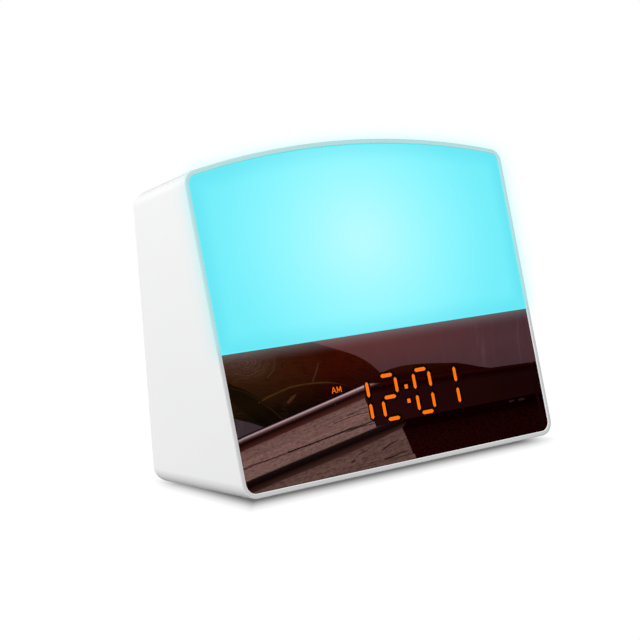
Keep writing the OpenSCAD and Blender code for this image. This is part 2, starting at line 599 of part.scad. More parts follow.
module power_jack() {
  color([0.07, 0.07, 0.08]) stand() difference() {
    union() {
      box([jack[0] - 5.2, std_y, jack[1] - 5.5], [jack[0] + 5.2, back_y - 3.1, jack[1] + 5.5]);
      rod(jack[0], jack[1], 4.4, back_y - 4, back_y - 0.6);
    }
    rod(jack[0], jack[1], 2.85, back_y - 10.5, back_y + 1);
  }
}
module power_jack_pin() { color("silver") stand() rod(jack[0], jack[1], 1.05, back_y - 10.5, back_y - 2); }
module cover_screws() { color("silver") stand() for (s = [-1, 1], z = screw_z) screw(s*screw_x, z, 1.2, 2.7, 1.8, back_y - 3, 54.5); }
module rubber_feet() { color([0.75, 0.75, 0.76]) stand() for (p = FEET) translate([p[0], p[1], -lift]) cylinder(r = 5, h = lift + foot_top(p[1])); }

housing_shell();
rear_cover();
light_diffuser();
mirror_lens();
panel_adhesive();
light_chamber();
led_board();
led_chips();
led_board_screws();
carrier_screws();
display_frame();
display_block();
digit_bars_lit();
digit_bars_unlit();
am_indicator();
display_board();
display_board_screws();
display_ribbon();
led_ribbon();
main_board();
processor_chip();
board_chips();
capacitors();
board_sockets();
main_board_screws();
button_ribbon();
snooze_wires();
speaker_wires();
battery_wires();
button_board();
rear_switches();
button_board_screws();
set_button();
alarm_button();
light_button();
sound_button();
minus_button();
plus_button();
snooze_bar();
snooze_board();
snooze_switch();
snooze_board_screws();
speaker_basket();
speaker_cone();
speaker_magnet();
speaker_screws();
battery_door();
backup_cells();
cell_springs();
cell_contacts();
power_jack();
power_jack_pin();
cover_screws();
rubber_feet();
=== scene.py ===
"""Looks of the sunrise alarm clock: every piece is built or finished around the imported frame."""

import json
import math

import bmesh
import bpy
import numpy as np
from mathutils import Matrix, Vector

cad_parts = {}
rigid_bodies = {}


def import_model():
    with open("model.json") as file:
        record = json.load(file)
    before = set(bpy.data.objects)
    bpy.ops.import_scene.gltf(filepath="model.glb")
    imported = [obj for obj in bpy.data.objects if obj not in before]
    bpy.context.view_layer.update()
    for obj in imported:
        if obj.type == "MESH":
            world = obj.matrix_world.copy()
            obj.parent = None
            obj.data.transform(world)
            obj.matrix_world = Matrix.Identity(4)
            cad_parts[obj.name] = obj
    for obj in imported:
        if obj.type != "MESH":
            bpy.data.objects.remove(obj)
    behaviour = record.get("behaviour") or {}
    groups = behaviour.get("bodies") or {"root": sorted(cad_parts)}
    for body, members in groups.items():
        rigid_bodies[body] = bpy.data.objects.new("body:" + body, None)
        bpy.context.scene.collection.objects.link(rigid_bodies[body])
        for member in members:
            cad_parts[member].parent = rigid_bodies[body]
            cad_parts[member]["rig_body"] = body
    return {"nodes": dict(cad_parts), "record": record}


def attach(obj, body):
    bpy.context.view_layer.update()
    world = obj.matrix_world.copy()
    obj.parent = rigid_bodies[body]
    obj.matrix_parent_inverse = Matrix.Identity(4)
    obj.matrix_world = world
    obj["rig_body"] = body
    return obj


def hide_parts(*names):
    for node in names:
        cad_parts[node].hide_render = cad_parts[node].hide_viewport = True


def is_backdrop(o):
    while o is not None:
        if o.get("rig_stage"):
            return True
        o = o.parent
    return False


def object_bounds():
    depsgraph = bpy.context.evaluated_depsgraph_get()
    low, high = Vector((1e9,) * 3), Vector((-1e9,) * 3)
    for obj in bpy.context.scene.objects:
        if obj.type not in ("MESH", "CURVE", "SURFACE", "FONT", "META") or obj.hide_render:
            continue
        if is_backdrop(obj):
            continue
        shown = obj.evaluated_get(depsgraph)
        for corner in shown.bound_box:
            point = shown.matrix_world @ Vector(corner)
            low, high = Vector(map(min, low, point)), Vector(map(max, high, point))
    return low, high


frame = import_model()
CAD_BOX = [[float(c) for c in corner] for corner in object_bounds()]
NODES = frame["nodes"]
MM = 0.001

# ------------------------------------------------------------------ sizes, in millimetres as in the CAD source
HALF_W, FACE_H, RISE, BODY_D = 82.5, 127.6, 9.1, 67.4
LEAN, FLARE = math.radians(12.5), math.radians(0.33)
SN, CS = math.sin(LEAN), math.cos(LEAN)
WALL, R_BOTTOM, R_TOP, R_REAR = 2.0, 6.3, 5.6, 4.0
FOOT_H, DROP = 0.6, 2.2
LIFT, TILT = FOOT_H + DROP, math.atan(DROP / BODY_D)
STILT, CTILT = math.sin(TILT), math.cos(TILT)
SPLIT_V, PANEL_T, LENS_T, PANEL_IN = 56.3, 2.5, 1.0, 0.3
APEX = FACE_H + RISE
ARCH_R = HALF_W**2 / (2 * RISE) + RISE / 2
ARCH_C = APEX - ARCH_R
REAR_APEX = (APEX - BODY_D * SN) / CS
REAR_R = ARCH_R * CS
REAR_IN, COVER_T, LEDGE_N = 8.0, 2.0, 4.5
DIGIT_H, DIGIT_W, BAR_W = 17.9, 8.4, 1.5
DIGIT_X, DIGIT_V, COLON_X, BAR_N = (-17.84, -2.82, 15.34, 29.4), 29.0, 6.42, 1.35
SPK, JACK = (-36.0, 52.0), (-58.0, 20.0)
BTN_Z, BTN_PITCH = 95.0, 17.0
BAY_X = (8.0, 57.2)
BAY_MID = sum(BAY_X) / 2


def stand(x, y, z):
    """Point of the standing frame (x, depth from the front edge, height over the flat bottom)."""
    return Vector((x, y - BODY_D / 2, z + LIFT)) * MM


def face(x, n, v):
    """Point of the leaning front's frame (x, depth behind the face, height along it)."""
    return stand(x, n * CS + v * SN, v * CS - n * SN)


# ------------------------------------------------------------------ mesh helpers
def new_object(name, mesh):
    obj = bpy.data.objects.new(name, mesh)
    bpy.context.scene.collection.objects.link(obj)
    return obj


def mesh_from(name, points, faces):
    mesh = bpy.data.meshes.new(name)
    mesh.from_pydata([tuple(p) for p in points], [], faces)
    mesh.validate()
    mesh.update()
    return mesh


def smooth(obj, angle=32, weighted=True):
    """Smooth shading that keeps edges over the angle, with flat faces kept flat."""
    mesh = obj.data
    mesh.polygons.foreach_set("use_smooth", [True] * len(mesh.polygons))
    mesh.set_sharp_from_angle(angle=math.radians(angle))
    if weighted:
        m = obj.modifiers.new("flat faces stay flat", "WEIGHTED_NORMAL")
        m.keep_sharp = True
        m.weight = 80
    return obj


def outward(mesh):
    bm = bmesh.new()
    bm.from_mesh(mesh)
    bmesh.ops.recalc_face_normals(bm, faces=bm.faces)
    bm.to_mesh(mesh)
    bm.free()


def applied(obj):
    """The object's mesh with its modifiers in it."""
    graph = bpy.context.evaluated_depsgraph_get()
    graph.update()
    return bpy.data.meshes.new_from_object(obj.evaluated_get(graph))


def boolean(obj, other, operation, solver="MANIFOLD"):
    """obj with the closed mesh `other` added to it or cut out of it."""
    tool = new_object("tool", other)
    m = obj.modifiers.new("bool", "BOOLEAN")
    m.operation, m.solver, m.object = operation, solver, tool
    result = applied(obj)
    obj.modifiers.clear()
    old = obj.data
    if len(result.polygons) < 8:
        raise RuntimeError(f"boolean {operation} on {obj.name} came back empty")
    obj.data = result
    bpy.data.meshes.remove(old)
    bpy.data.objects.remove(tool)
    bpy.data.meshes.remove(other)
    return obj


def loft(name, loops, close=True, caps=False):
    """Mesh of quads through closed loops of equally many points. close joins the last loop to the first."""
    m = len(loops[0])
    points = [p for loop in loops for p in loop]
    faces = []
    for k in range(len(loops) if close else len(loops) - 1):
        a, b = k * m, ((k + 1) % len(loops)) * m
        faces += [(a + i, a + (i + 1) % m, b + (i + 1) % m, b + i) for i in range(m)]
    if caps:
        faces.append(tuple(range(m - 1, -1, -1)))
        last = (len(loops) - 1) * m
        faces.append(tuple(range(last, last + m)))
    mesh = mesh_from(name, points, faces)
    outward(mesh)
    return mesh


def many(name, meshes):
    """One mesh out of several closed ones that don't touch."""
    bm = bmesh.new()
    for mesh in meshes:
        bm.from_mesh(mesh)
        bpy.data.meshes.remove(mesh)
    out = bpy.data.meshes.new(name)
    bm.to_mesh(out)
    bm.free()
    return out


def rod(place, x, up, r, d0, d1, seg=40):
    """Cylinder along the depth axis of a frame (face or stand)."""
    ring = lambda d: [place(x + r * math.cos(a), d, up + r * math.sin(a)) for a in np.linspace(0, 2 * math.pi, seg, endpoint=False)]
    return loft("rod", [ring(d0), ring(d1)], close=False, caps=True)


def post(place, x, n, r, v0, v1, seg=40):
    """Cylinder along the height axis of a frame."""
    ring = lambda v: [place(x + r * math.cos(a), n + r * math.sin(a), v) for a in np.linspace(0, 2 * math.pi, seg, endpoint=False)]
    return loft("post", [ring(v0), ring(v1)], close=False, caps=True)


def block(place, a, b):
    lo, hi = [min(p) for p in zip(a, b)], [max(p) for p in zip(a, b)]
    ring = lambda z: [place(lo[0], lo[1], z), place(hi[0], lo[1], z), place(hi[0], hi[1], z), place(lo[0], hi[1], z)]
    return loft("block", [ring(lo[2]), ring(hi[2])], close=False, caps=True)


def stadium_pts(w, h, seg=16):
    r = h / 2
    right = [((w - h) / 2 + r * math.cos(a), r * math.sin(a)) for a in np.linspace(-math.pi / 2, math.pi / 2, seg + 1)]
    return right + [(-x, -y) for x, y in right]


def prism(place, pts, d0, d1):
    """Closed outline (x, up) between two depths."""
    return loft("prism", [[place(x, d, u) for x, u in pts] for d in (d0, d1)], close=False, caps=True)


def lathe(place, cx, cz, profile, seg=96):
    """Ring-shaped solid about a depth axis: profile is a closed list of (radius, depth)."""
    loops = []
    for r, d in profile:
        loops.append([place(cx + r * math.cos(a), d, cz + r * math.sin(a)) for a in np.linspace(0, 2 * math.pi, seg, endpoint=False)])
    return loft("lathe", loops, close=True)


def tube(name, path, r, seg=12, closed_ends=True):
    """Round wire along points in metres."""
    path = [Vector(p) for p in path]
    loops, up = [], None
    for i, p in enumerate(path):
        t = (path[min(i + 1, len(path) - 1)] - path[max(i - 1, 0)]).normalized()
        if up is None:
            up = t.orthogonal().normalized()
        up = (up - t * up.dot(t)).normalized()
        w = t.cross(up)
        loops.append([p + (up * math.cos(a) + w * math.sin(a)) * r for a in np.linspace(0, 2 * math.pi, seg, endpoint=False)])
    return loft(name, loops, close=False, caps=closed_ends)


# ------------------------------------------------------------------ material helpers
class Shade:
    """A material's nodes, made in short lines."""

    def __init__(self, name):
        self.mat = bpy.data.materials.new(name)
        self.mat.use_nodes = True
        self.nt = self.mat.node_tree
        self.nt.nodes.clear()
        self.out = self.nt.nodes.new("ShaderNodeOutputMaterial")
        self._pos = None

    def add(self, kind, props=None, **inputs):
        n = self.nt.nodes.new(kind)
        for k, v in (props or {}).items():
            setattr(n, k, v)
        for k, v in inputs.items():
            self.set(n, k, v)
        return n

    def set(self, n, key, value):
        key = int(key[1:]) if key[0] == "i" and key[1:].isdigit() else key.replace("_", " ")
        socket = n.inputs[key]
        if isinstance(value, bpy.types.NodeSocket):
            self.nt.links.new(value, socket)
        elif hasattr(value, "__len__") and socket.type == "RGBA" and len(value) == 3:
            socket.default_value = (*value, 1)
        else:
            socket.default_value = value
        return n

    @property
    def pos(self):
        if self._pos is None:
            self._pos = self.add("ShaderNodeTexCoord").outputs["Object"]
        return self._pos

    def math(self, op, a, b=0.0, c=0.0, clamp=False):
        return self.add("ShaderNodeMath", {"operation": op, "use_clamp": clamp}, i0=a, i1=b, i2=c).outputs[0]

    def math_vec(self, origin):
        """Position measured from a fixed point."""
        return self.add("ShaderNodeVectorMath", {"operation": "SUBTRACT"}, i0=self.pos, i1=origin).outputs[0]

    def dot(self, vec, axis):
        return self.add("ShaderNodeVectorMath", {"operation": "DOT_PRODUCT"}, i0=vec, i1=axis).outputs["Value"]

    def noise(self, scale, detail=2.0, rough=0.5, vector=None, distortion=0.0):
        return self.add("ShaderNodeTexNoise", {"noise_dimensions": "3D"}, Vector=vector or self.pos, Scale=scale, Detail=detail, Roughness=rough, Distortion=distortion).outputs["Fac"]

    def span(self, value, a, b, lo, hi, kind="LINEAR"):
        n = self.add("ShaderNodeMapRange", {"interpolation_type": kind, "clamp": True})
        for key, v in zip(("Value", "From Min", "From Max", "To Min", "To Max"), (value, a, b, lo, hi)):
            self.set(n, key, v)
        return n.outputs["Result"]

    def mix(self, fac, a, b, blend="MIX"):
        n = self.add("ShaderNodeMix", {"data_type": "RGBA", "blend_type": blend})
        for socket, v in ((n.inputs[0], fac), (n.inputs[6], a), (n.inputs[7], b)):
            if isinstance(v, bpy.types.NodeSocket):
                self.nt.links.new(v, socket)
            elif hasattr(v, "__len__"):
                socket.default_value = (*v[:3], 1)
            else:
                socket.default_value = v
        return n.outputs[2]

    def ramp(self, fac, stops, mode="LINEAR"):
        n = self.add("ShaderNodeValToRGB", Fac=fac)
        n.color_ramp.interpolation = mode
        while len(n.color_ramp.elements) < len(stops):
            n.color_ramp.elements.new(0.5)
        for e, (p, c) in zip(n.color_ramp.elements, stops):
            e.position, e.color = p, (*c[:3], 1)
        return n.outputs["Color"]

    def bump(self, height, strength, distance, normal=None):
        n = self.add("ShaderNodeBump", Height=height, Strength=strength, Distance=distance)
        if normal is not None:
            self.nt.links.new(normal, n.inputs["Normal"])
        return n.outputs["Normal"]

    def principled(self, **inputs):
        n = self.add("ShaderNodeBsdfPrincipled")
        for k, v in inputs.items():
            self.set(n, k, v)
        self.nt.links.new(n.outputs["BSDF"], self.out.inputs["Surface"])
        return n

    def emission(self, color, strength=1.0):
        n = self.add("ShaderNodeEmission", Color=color, Strength=strength)
        self.nt.links.new(n.outputs[0], self.out.inputs["Surface"])
        return self.mat


def lin(r, g, b):
    """Linear light of an 8-bit display colour."""
    f = lambda c: (c / 255 / 12.92) if c / 255 <= 0.04045 else ((c / 255 + 0.055) / 1.055) ** 2.4
    return (f(r), f(g), f(b))


def plastic(name, color, rough=0.42, vary=0.02, grain=2600.0, depth=0.012, spec=0.5, second=None, scale=14.0):
    """Moulded plastic: slow colour drift, fine spark-eroded grain, roughness that wanders a little."""
    s = Shade(name)
    a = tuple(c * (1 - vary) for c in color)
    b = second or tuple(min(c * (1 + vary), 1.0) for c in color)
    base = s.mix(s.span(s.noise(scale, 3.0), 0.3, 0.7, 0.0, 1.0), a, b)
    fine = s.noise(grain, 3.0, 0.65)
    s.principled(
        Base_Color=base,
        Roughness=s.span(s.noise(160.0, 2.0), 0.3, 0.7, rough - 0.04, rough + 0.04),
        Specular_IOR_Level=spec,
        Normal=s.bump(fine, 0.35, depth * MM),
    )
    return s.mat


def metal(name, color, rough=0.28, vary=0.06, scale=900.0, stretch=(1, 1, 1), depth=0.004):
    s = Shade(name)
    v = s.add("ShaderNodeMapping", Vector=s.pos, Scale=stretch).outputs[0]
    brush = s.noise(scale, 4.0, 0.6, vector=v)
    base = s.mix(s.span(brush, 0.3, 0.7, 0.0, 1.0), tuple(c * (1 - vary) for c in color), tuple(min(c * (1 + vary), 1.0) for c in color))
    s.principled(Base_Color=base, Metallic=1.0, Roughness=s.span(brush, 0.25, 0.75, rough - 0.08, rough + 0.1), Normal=s.bump(brush, 0.3, depth * MM))
    return s.mat


# ------------------------------------------------------------------ finishing a CAD node
def refine(node, mat, bevel=0.0, segments=2, angle=30, name=None, only=None, shade=32, slot=None):
    """A finished copy of a CAD node on its own body: triangles in one plane joined, edges broken by a small radius."""
    src = NODES[node]
    bm = bmesh.new()
    bm.from_mesh(src.data)
    bmesh.ops.remove_doubles(bm, verts=bm.verts, dist=2e-6)
    bmesh.ops.dissolve_limit(bm, angle_limit=math.radians(0.25), verts=bm.verts, edges=bm.edges, use_dissolve_boundaries=False)
    if bevel:
        limit = math.radians(angle)
        edges = [e for e in bm.edges if len(e.link_faces) == 2 and e.calc_face_angle(0) > limit and (only is None or only(e))]
        if edges:
            bmesh.ops.bevel(bm, geom=edges, offset=bevel * MM, offset_type="OFFSET", segments=segments, profile=0.5, affect="EDGES", clamp_overlap=True)
    bmesh.ops.recalc_face_normals(bm, faces=bm.faces)
    mesh = bpy.data.meshes.new(name or node + "_skin")
    bm.to_mesh(mesh)
    bm.free()
    obj = new_object(name or node + "_skin", mesh)
    mesh.materials.append(mat)
    smooth(obj, shade)
    return place_piece(obj, src["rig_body"], slot or slot_of(node), node)


def slot_of(node):
    return next(p["material_slot"] for p in frame["record"]["subparts"] if p["node"] == node)


def place_piece(obj, body, slot, *nodes):
    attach(obj, body)
    if nodes:
        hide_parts(*nodes)
    return obj


def piece(name, mesh, mat, body="clock", slot=None, nodes=(), angle=32, weighted=True):
    obj = new_object(name, mesh)
    obj.data.materials.clear()
    obj.data.materials.append(mat)
    smooth(obj, angle, weighted)
    return place_piece(obj, body, slot, *nodes)


# ------------------------------------------------------------------ camera
cam = bpy.data.objects.new("camera", bpy.data.cameras.new("camera"))
bpy.context.scene.collection.objects.link(cam)
cam.data.lens, cam.data.sensor_width, cam.data.sensor_fit = 88.995, 36.0, "HORIZONTAL"
cam.data.clip_start, cam.data.clip_end = 0.05, 50.0
CAM_POS = Vector((-0.405012, -0.524531, 0.139518))
CAM_X, CAM_Y, CAM_Z = Vector((0.798619, -0.599073, -0.057618)), Vector((0.116100, 0.059415, 0.991459)), Vector((-0.590533, -0.798487, 0.117002))
cam.matrix_world = Matrix.Translation(CAM_POS) @ Matrix((CAM_X, CAM_Y, CAM_Z)).transposed().to_4x4()
bpy.context.scene.camera = cam


# ------------------------------------------------------------------ housing
def side_x(v, e=0.0):
    return HALF_W - 0.37 + v * math.tan(FLARE) - e / math.cos(FLARE)


def top_corner(r):
    """Centre of a top corner arc and the angle at which it meets the arched top."""
    tx1 = side_x(FACE_H - r) - r / math.cos(FLARE)
    ty1 = ARCH_C + math.sqrt((ARCH_R - r) ** 2 - tx1**2)
    tx = side_x(ty1) - r / math.cos(FLARE)
    ty = ARCH_C + math.sqrt((ARCH_R - r) ** 2 - tx**2)
    return tx, ty, math.atan2(ty - ARCH_C, tx)


def sloped(h):
    """Where the line at height h over the sloping underside meets the face plane: (depth, height)."""
    t = h * math.tan(LEAN - TILT)
    return h * STILT + t * CTILT, h * CTILT - t * STILT


class Lane:
    """One line of the shell that runs from the face plane straight to the back."""

    def __init__(self, kind, u, sign):
        self.kind, self.u, self.sign = kind, u, sign

    def front(self, e):
        """(point on the face plane, direction, outward normal), in the standing frame, right-hand side."""
        tx, ty, a1 = top_corner(R_TOP)
        xc = side_x(sloped(R_BOTTOM)[1] / CS) - R_BOTTOM
        if self.kind == "bottom":
            return np.array([xc * self.u, *sloped(e)]), np.array([0, CTILT, -STILT]), np.array([0, -STILT, -CTILT])
        if self.kind == "bcorner":
            a = math.radians(-90 + 90 * self.u)
            h = R_BOTTOM + (R_BOTTOM - e) * math.sin(a)
            return np.array([xc + (R_BOTTOM - e) * math.cos(a), *sloped(h)]), np.array([0, CTILT, -STILT]), np.array([math.cos(a), math.sin(a) * STILT, math.sin(a) * CTILT])
        if self.kind == "side":
            vb = sloped(R_BOTTOM)[1] / CS
            v = vb + self.u * (ty - vb)
            t = TILT + (LEAN - TILT) * self.u
            return np.array([side_x(v, e), v * SN, v * CS]), np.array([0, math.cos(t), -math.sin(t)]), np.array([1.0, 0, 0])
        a = -FLARE + self.u * (a1 + FLARE) if self.kind == "tcorner" else a1 + self.u * (math.pi / 2 - a1)
        cx, cy, r = (tx, ty, R_TOP - e) if self.kind == "tcorner" else (0.0, ARCH_C, ARCH_R - e)
        x, v = cx + r * math.cos(a), cy + r * math.sin(a)
        return np.array([x, v * SN, v * CS]), np.array([0, CS, -SN]), np.array([math.cos(a), math.sin(a) * SN, math.sin(a) * CS])

    def fix(self, p, e):
        """Keeps a point of the side in its slightly flared plane."""
        if self.kind == "side":
            p[0] = side_x(p[1] * SN + p[2] * CS, e)
        elif self.kind == "bcorner":
            v = p[1] * SN + (R_BOTTOM / CTILT - p[1] * STILT / CTILT) * CS
            p[0] += (side_x(v) - side_x(sloped(R_BOTTOM)[1] / CS)) * self.u
        return p

    def at(self, e, s):
        f, d, _ = self.front(e)
        return self.fix(f + d * s, e)

    def rear_radius(self):
        ease = lambda t: t * t * (3 - 2 * t)
        if self.kind == "bottom" or self.kind == "top":
            return R_REAR
        if self.kind == "bcorner":
            return R_REAR + (1.4 - R_REAR) * ease(self.u)
        if self.kind == "tcorner":
            return 1.4 + (R_REAR - 1.4) * ease(self.u)
        return 1.4

    def rear(self, e, back, r, steps):
        """(distance along the lane where the rounding starts, points of the rounding up to the back plane)."""
        f, d, u = self.front(e)
        s_end = (back - f[1]) / d[1]
        b = self.fix(f + d * s_end, e)
        w = -u + (u[1] / d[1]) * d
        w /= np.linalg.norm(w)
        turn = math.acos(max(-1, min(1, float(d @ w))))
        length = r * math.tan(turn / 2)
        start = b - d * length
        centre = start - u * r
        arc = [centre + r * (math.cos(t) * u + math.sin(t) * d) for t in np.linspace(0, turn, steps)]
        return s_end - length, arc

    def opening(self, e, r):
        """Point of the rear opening's outline (x, z), e in from the back's outline."""
        hx = HALF_W - e
        tx = hx - r
        cy = REAR_APEX - REAR_R
        ty = cy + math.sqrt((REAR_R - e - r) ** 2 - tx**2)
        a1 = math.atan2(ty - cy, tx)
        if self.kind == "bottom":
            return tx * self.u, e
        if self.kind == "bcorner":
            a = math.radians(-90 + 90 * self.u)
            return tx + r * math.cos(a), e + r + r * math.sin(a)
        if self.kind == "side":
            return hx, e + r + self.u * (ty - e - r)
        if self.kind == "tcorner":
            a = self.u * a1
            return tx + r * math.cos(a), ty + r * math.sin(a)
        a = a1 + self.u * (math.pi / 2 - a1)
        return (REAR_R - e) * math.cos(a), cy + (REAR_R - e) * math.sin(a)

    def place(self, p):
        return stand(self.sign * p[0], p[1], p[2])


def lanes():
    half = []
    for kind, n in (("bottom", 10), ("bcorner", 12), ("side", 18), ("tcorner", 12), ("top", 32)):
        half += [(kind, k / n) for k in range(n)]
    right = [Lane(k, u, 1) for k, u in half] + [Lane("top", 1.0, 1)]
    left = [Lane(k, u, -1) for k, u in half[1:]][::-1]
    return right + left


LANES = lanes()


def shell_mesh():
    ro, ri, lip = 0.75, 0.3, 0.35
    inner_back = BODY_D - COVER_T
    loops = []
    ring = lambda f: [ln.place(f(ln)) for ln in LANES]
    # inner edge of the rim, the rim itself and its outer edge
    for t in np.linspace(0, math.pi / 2, 4):
        loops.append(ring(lambda ln: ln.at(WALL - ri * (1 - math.cos(t)), ri * (1 - math.sin(t)))))
    for t in np.linspace(math.pi / 2, 0, 7):
        loops.append(ring(lambda ln: ln.at(ro * (1 - math.cos(t)), ro * (1 - math.sin(t)))))
    # outside wall
    for k in np.linspace(0, 1, 8)[1:]:
        loops.append(ring(lambda ln: ln.at(0.0, ro + k * (ln.rear(0.0, BODY_D, ln.rear_radius(), 2)[0] - ro))))
    # rear rounding
    for i in range(1, 10):
        loops.append(ring(lambda ln: ln.rear(0.0, BODY_D, ln.rear_radius(), 10)[1][i]))
    # back, down to the rounded lip of the rear opening
    def back(ln, k):
        e = ln.rear(0.0, BODY_D, ln.rear_radius(), 2)[1][-1]
        o = ln.opening(REAR_IN - lip, 6.0 + lip)
        return np.array([e[0] + k * (o[0] - e[0]), BODY_D, e[2] + k * (o[1] - e[2])])
    for k in (0.35, 0.7, 1.0):
        loops.append(ring(lambda ln: back(ln, k)))
    for t in np.linspace(0, math.pi / 2, 4)[1:]:
        def edge(ln, t=t):
            o = ln.opening(REAR_IN - lip + lip * math.sin(t), 6.0 + lip - lip * math.sin(t))
            return np.array([o[0], BODY_D - lip * (1 - math.cos(t)), o[1]])
        loops.append(ring(edge))
    # through the opening, then the inside back to the front
    def inside_edge(ln):
        o = ln.opening(REAR_IN, 6.0)
        return np.array([o[0], inner_back, o[1]])
    loops.append(ring(inside_edge))
    inner_r = lambda ln: max(ln.rear_radius() - WALL, 0.5)
    for i in range(5, -1, -1):
        loops.append(ring(lambda ln: ln.rear(WALL, inner_back, inner_r(ln), 6)[1][i]))
    for k in (0.75, 0.5, 0.25):
        loops.append(ring(lambda ln: ln.at(WALL, ri + k * (ln.rear(WALL, inner_back, inner_r(ln), 2)[0] - ri))))
    return loft("housing", loops, close=True)


def face_outline(e, rb, rt):
    """Outline in the face plane with a straight bottom at height e, as the ledges and panels use it."""
    cbx = side_x(e + rb, e) - rb / math.cos(FLARE)
    tx1 = side_x(FACE_H - rt, e) - rt / math.cos(FLARE)
    ty1 = ARCH_C + math.sqrt((ARCH_R - e - rt) ** 2 - tx1**2)
    tx = side_x(ty1, e) - rt / math.cos(FLARE)
    ty = ARCH_C + math.sqrt((ARCH_R - e - rt) ** 2 - tx**2)
    a1 = math.atan2(ty - ARCH_C, tx)
    arc = lambda cx, cy, r, a0, b, n: [(cx + r * math.cos(a), cy + r * math.sin(a)) for a in np.linspace(a0, b, n + 1)]
    right = arc(cbx, e + rb, rb, -math.pi / 2, -FLARE, 10) + arc(tx, ty, rt, -FLARE, a1, 10)
    top = [((ARCH_R - e) * math.cos(a), ARCH_C + (ARCH_R - e) * math.sin(a)) for a in np.linspace(a1, math.pi - a1, 61)[1:-1]]
    return right + top + [(-x, v) for x, v in right[::-1]]


def band(place, outer, inner, d0, d1):
    """Flat ring between two outlines of equally many points, with thickness d0 to d1."""
    loops = [[place(x, d, u) for x, u in pts] for pts, d in ((outer, d0), (outer, d1), (inner, d1), (inner, d0))]
    return loft("band", loops, close=True)


CH_BOSS = [(74.3, 64), (-74.3, 64), (73.9, 119), (-73.9, 119)]
DF_BOSS = [(74.3, 11), (-74.3, 11), (74.3, 48), (-74.3, 48)]
SN_POST = [(-37, 27), (37, 27)]
FEET = [(-64, 13), (64, 13), (-64, 54), (64, 54)]


def build_housing(mat):
    obj = new_object("housing", shell_mesh())
    rear = lambda e, r: [(ln.sign * x, z) for ln in LANES for x, z in [ln.opening(e, r)]]
    boolean(obj, band(face, face_outline(1.0, 5, 5), face_outline(WALL + 1.8, 3, 2.4), LEDGE_N, LEDGE_N + 1.5), "UNION")
    boolean(obj, band(stand, rear(REAR_IN - 1.5, 7.5), rear(REAR_IN + 2.5, 3.5), BODY_D - COVER_T - 1.5, BODY_D - COVER_T + 0.4), "UNION")
    boolean(obj, many("rods", [rod(face, x, v, 2.8, LEDGE_N + 0.01, 12) for x, v in CH_BOSS + DF_BOSS] + [rod(stand, s * 67.5, z, 3.6, 50, BODY_D - 4.5) for s in (-1, 1) for z in (16, 102)]), "UNION")
    webs = [block(face, (x, LEDGE_N + 0.02, v - 1.1), (math.copysign(side_x(v) - 0.8, x), 11.98, v + 1.1)) for x, v in CH_BOSS + DF_BOSS]
    webs += [block(stand, (s * 67.5, 50.02, z - 1.2), (s * (HALF_W - 0.9), BODY_D - 4.52, z + 1.2)) for s in (-1, 1) for z in (16, 102)]
    boolean(obj, many("webs", webs), "UNION")
    boolean(obj, many("posts", [post(face, x, n, 3, 123.6, 134.0) for x, n in SN_POST]), "UNION")
    holes = [rod(face, x, v, 1.05, LEDGE_N - 1, 11, 24) for x, v in CH_BOSS + DF_BOSS]
    holes += [rod(stand, s * 67.5, z, 1.25, 53, BODY_D - 3, 24) for s in (-1, 1) for z in (16, 102)]
    holes += [post(face, x, n, 1.05, 123, 131.5, 24) for x, n in SN_POST]
    holes += [post(stand, x, y, 5.15, -6, 0.9 - y * STILT / CTILT, 64) for x, y in FEET]
    boolean(obj, many("holes", holes), "DIFFERENCE")
    slot_pts = stadium_pts(60.6, 10.6, 24)
    slot = loft("slot", [[face(x, 27 + y, v) for x, y in slot_pts] for v in (130, 142)], close=False, caps=True)
    boolean(obj, slot, "DIFFERENCE")
    obj.data.materials.clear()
    obj.data.materials.append(mat)
    smooth(obj, 32)
    return place_piece(obj, "clock", "white_housing", "housing_shell")


# ------------------------------------------------------------------ finishes of the visible pieces
def housing_white():
    """White satin ABS, with painted light from emission: a painted highlight on the rim's inner rounding beside the
    mirror, and a painted glow on the rim beside the lit panel, as if its light soaked through the thin wall next to it.
    """
    s = Shade("housing_white")
    drift = s.span(s.noise(9.0, 3.0), 0.3, 0.7, 0.0, 1.0)
    base = s.mix(drift, (0.772, 0.774, 0.776), (0.793, 0.794, 0.795))
    fine = s.noise(2600.0, 3.0, 0.65)
    # painted highlight: emission on the small rounding towards the mirror, below the lit panel
    normal = s.add("ShaderNodeNewGeometry").outputs["Normal"]
    rel = s.math_vec(face(0, 0, 0))
    inward = s.add("ShaderNodeVectorMath", {"operation": "SUBTRACT"}, i0=face(0, 0, 60), i1=s.pos).outputs[0]
    near = s.span(s.math("DIVIDE", s.dot(rel, (0, CS, -SN)), MM), 0.28, 0.34, 1.0, 0.0)
    low = s.span(s.math("DIVIDE", s.dot(rel, (0, SN, CS)), MM), SPLIT_V - 2, SPLIT_V + 1, 1.0, 0.0)
    turned = s.math("MULTIPLY", s.span(s.dot(normal, (0, -CS, SN)), 0.93, 0.985, 1.0, 0.0), s.math("GREATER_THAN", s.dot(inward, normal), 0.001))
    # painted glow: emission makes the front of the rim beside the lit panel a little brighter
    above = s.span(s.math("DIVIDE", s.dot(rel, (0, SN, CS)), MM), SPLIT_V, SPLIT_V + 4, 0.0, 1.0)
    flat_front = s.span(s.dot(normal, (0, -CS, SN)), 0.85, 0.95, 0.0, 1.0)
    s.principled(
        Base_Color=base,
        Emission_Color=(0.92, 1.0, 1.06),
        Emission_Strength=s.math("ADD", s.math("MULTIPLY", s.math("MULTIPLY", near, low), s.math("MULTIPLY", turned, 0.30)), s.math("MULTIPLY", s.math("MULTIPLY", above, flat_front), 0.075)),
        Roughness=s.span(s.noise(120.0, 2.0), 0.3, 0.7, 0.36, 0.44),
        Specular_IOR_Level=0.45,
        Normal=s.bump(fine, 0.35, 0.010 * MM),
    )
    return s.mat


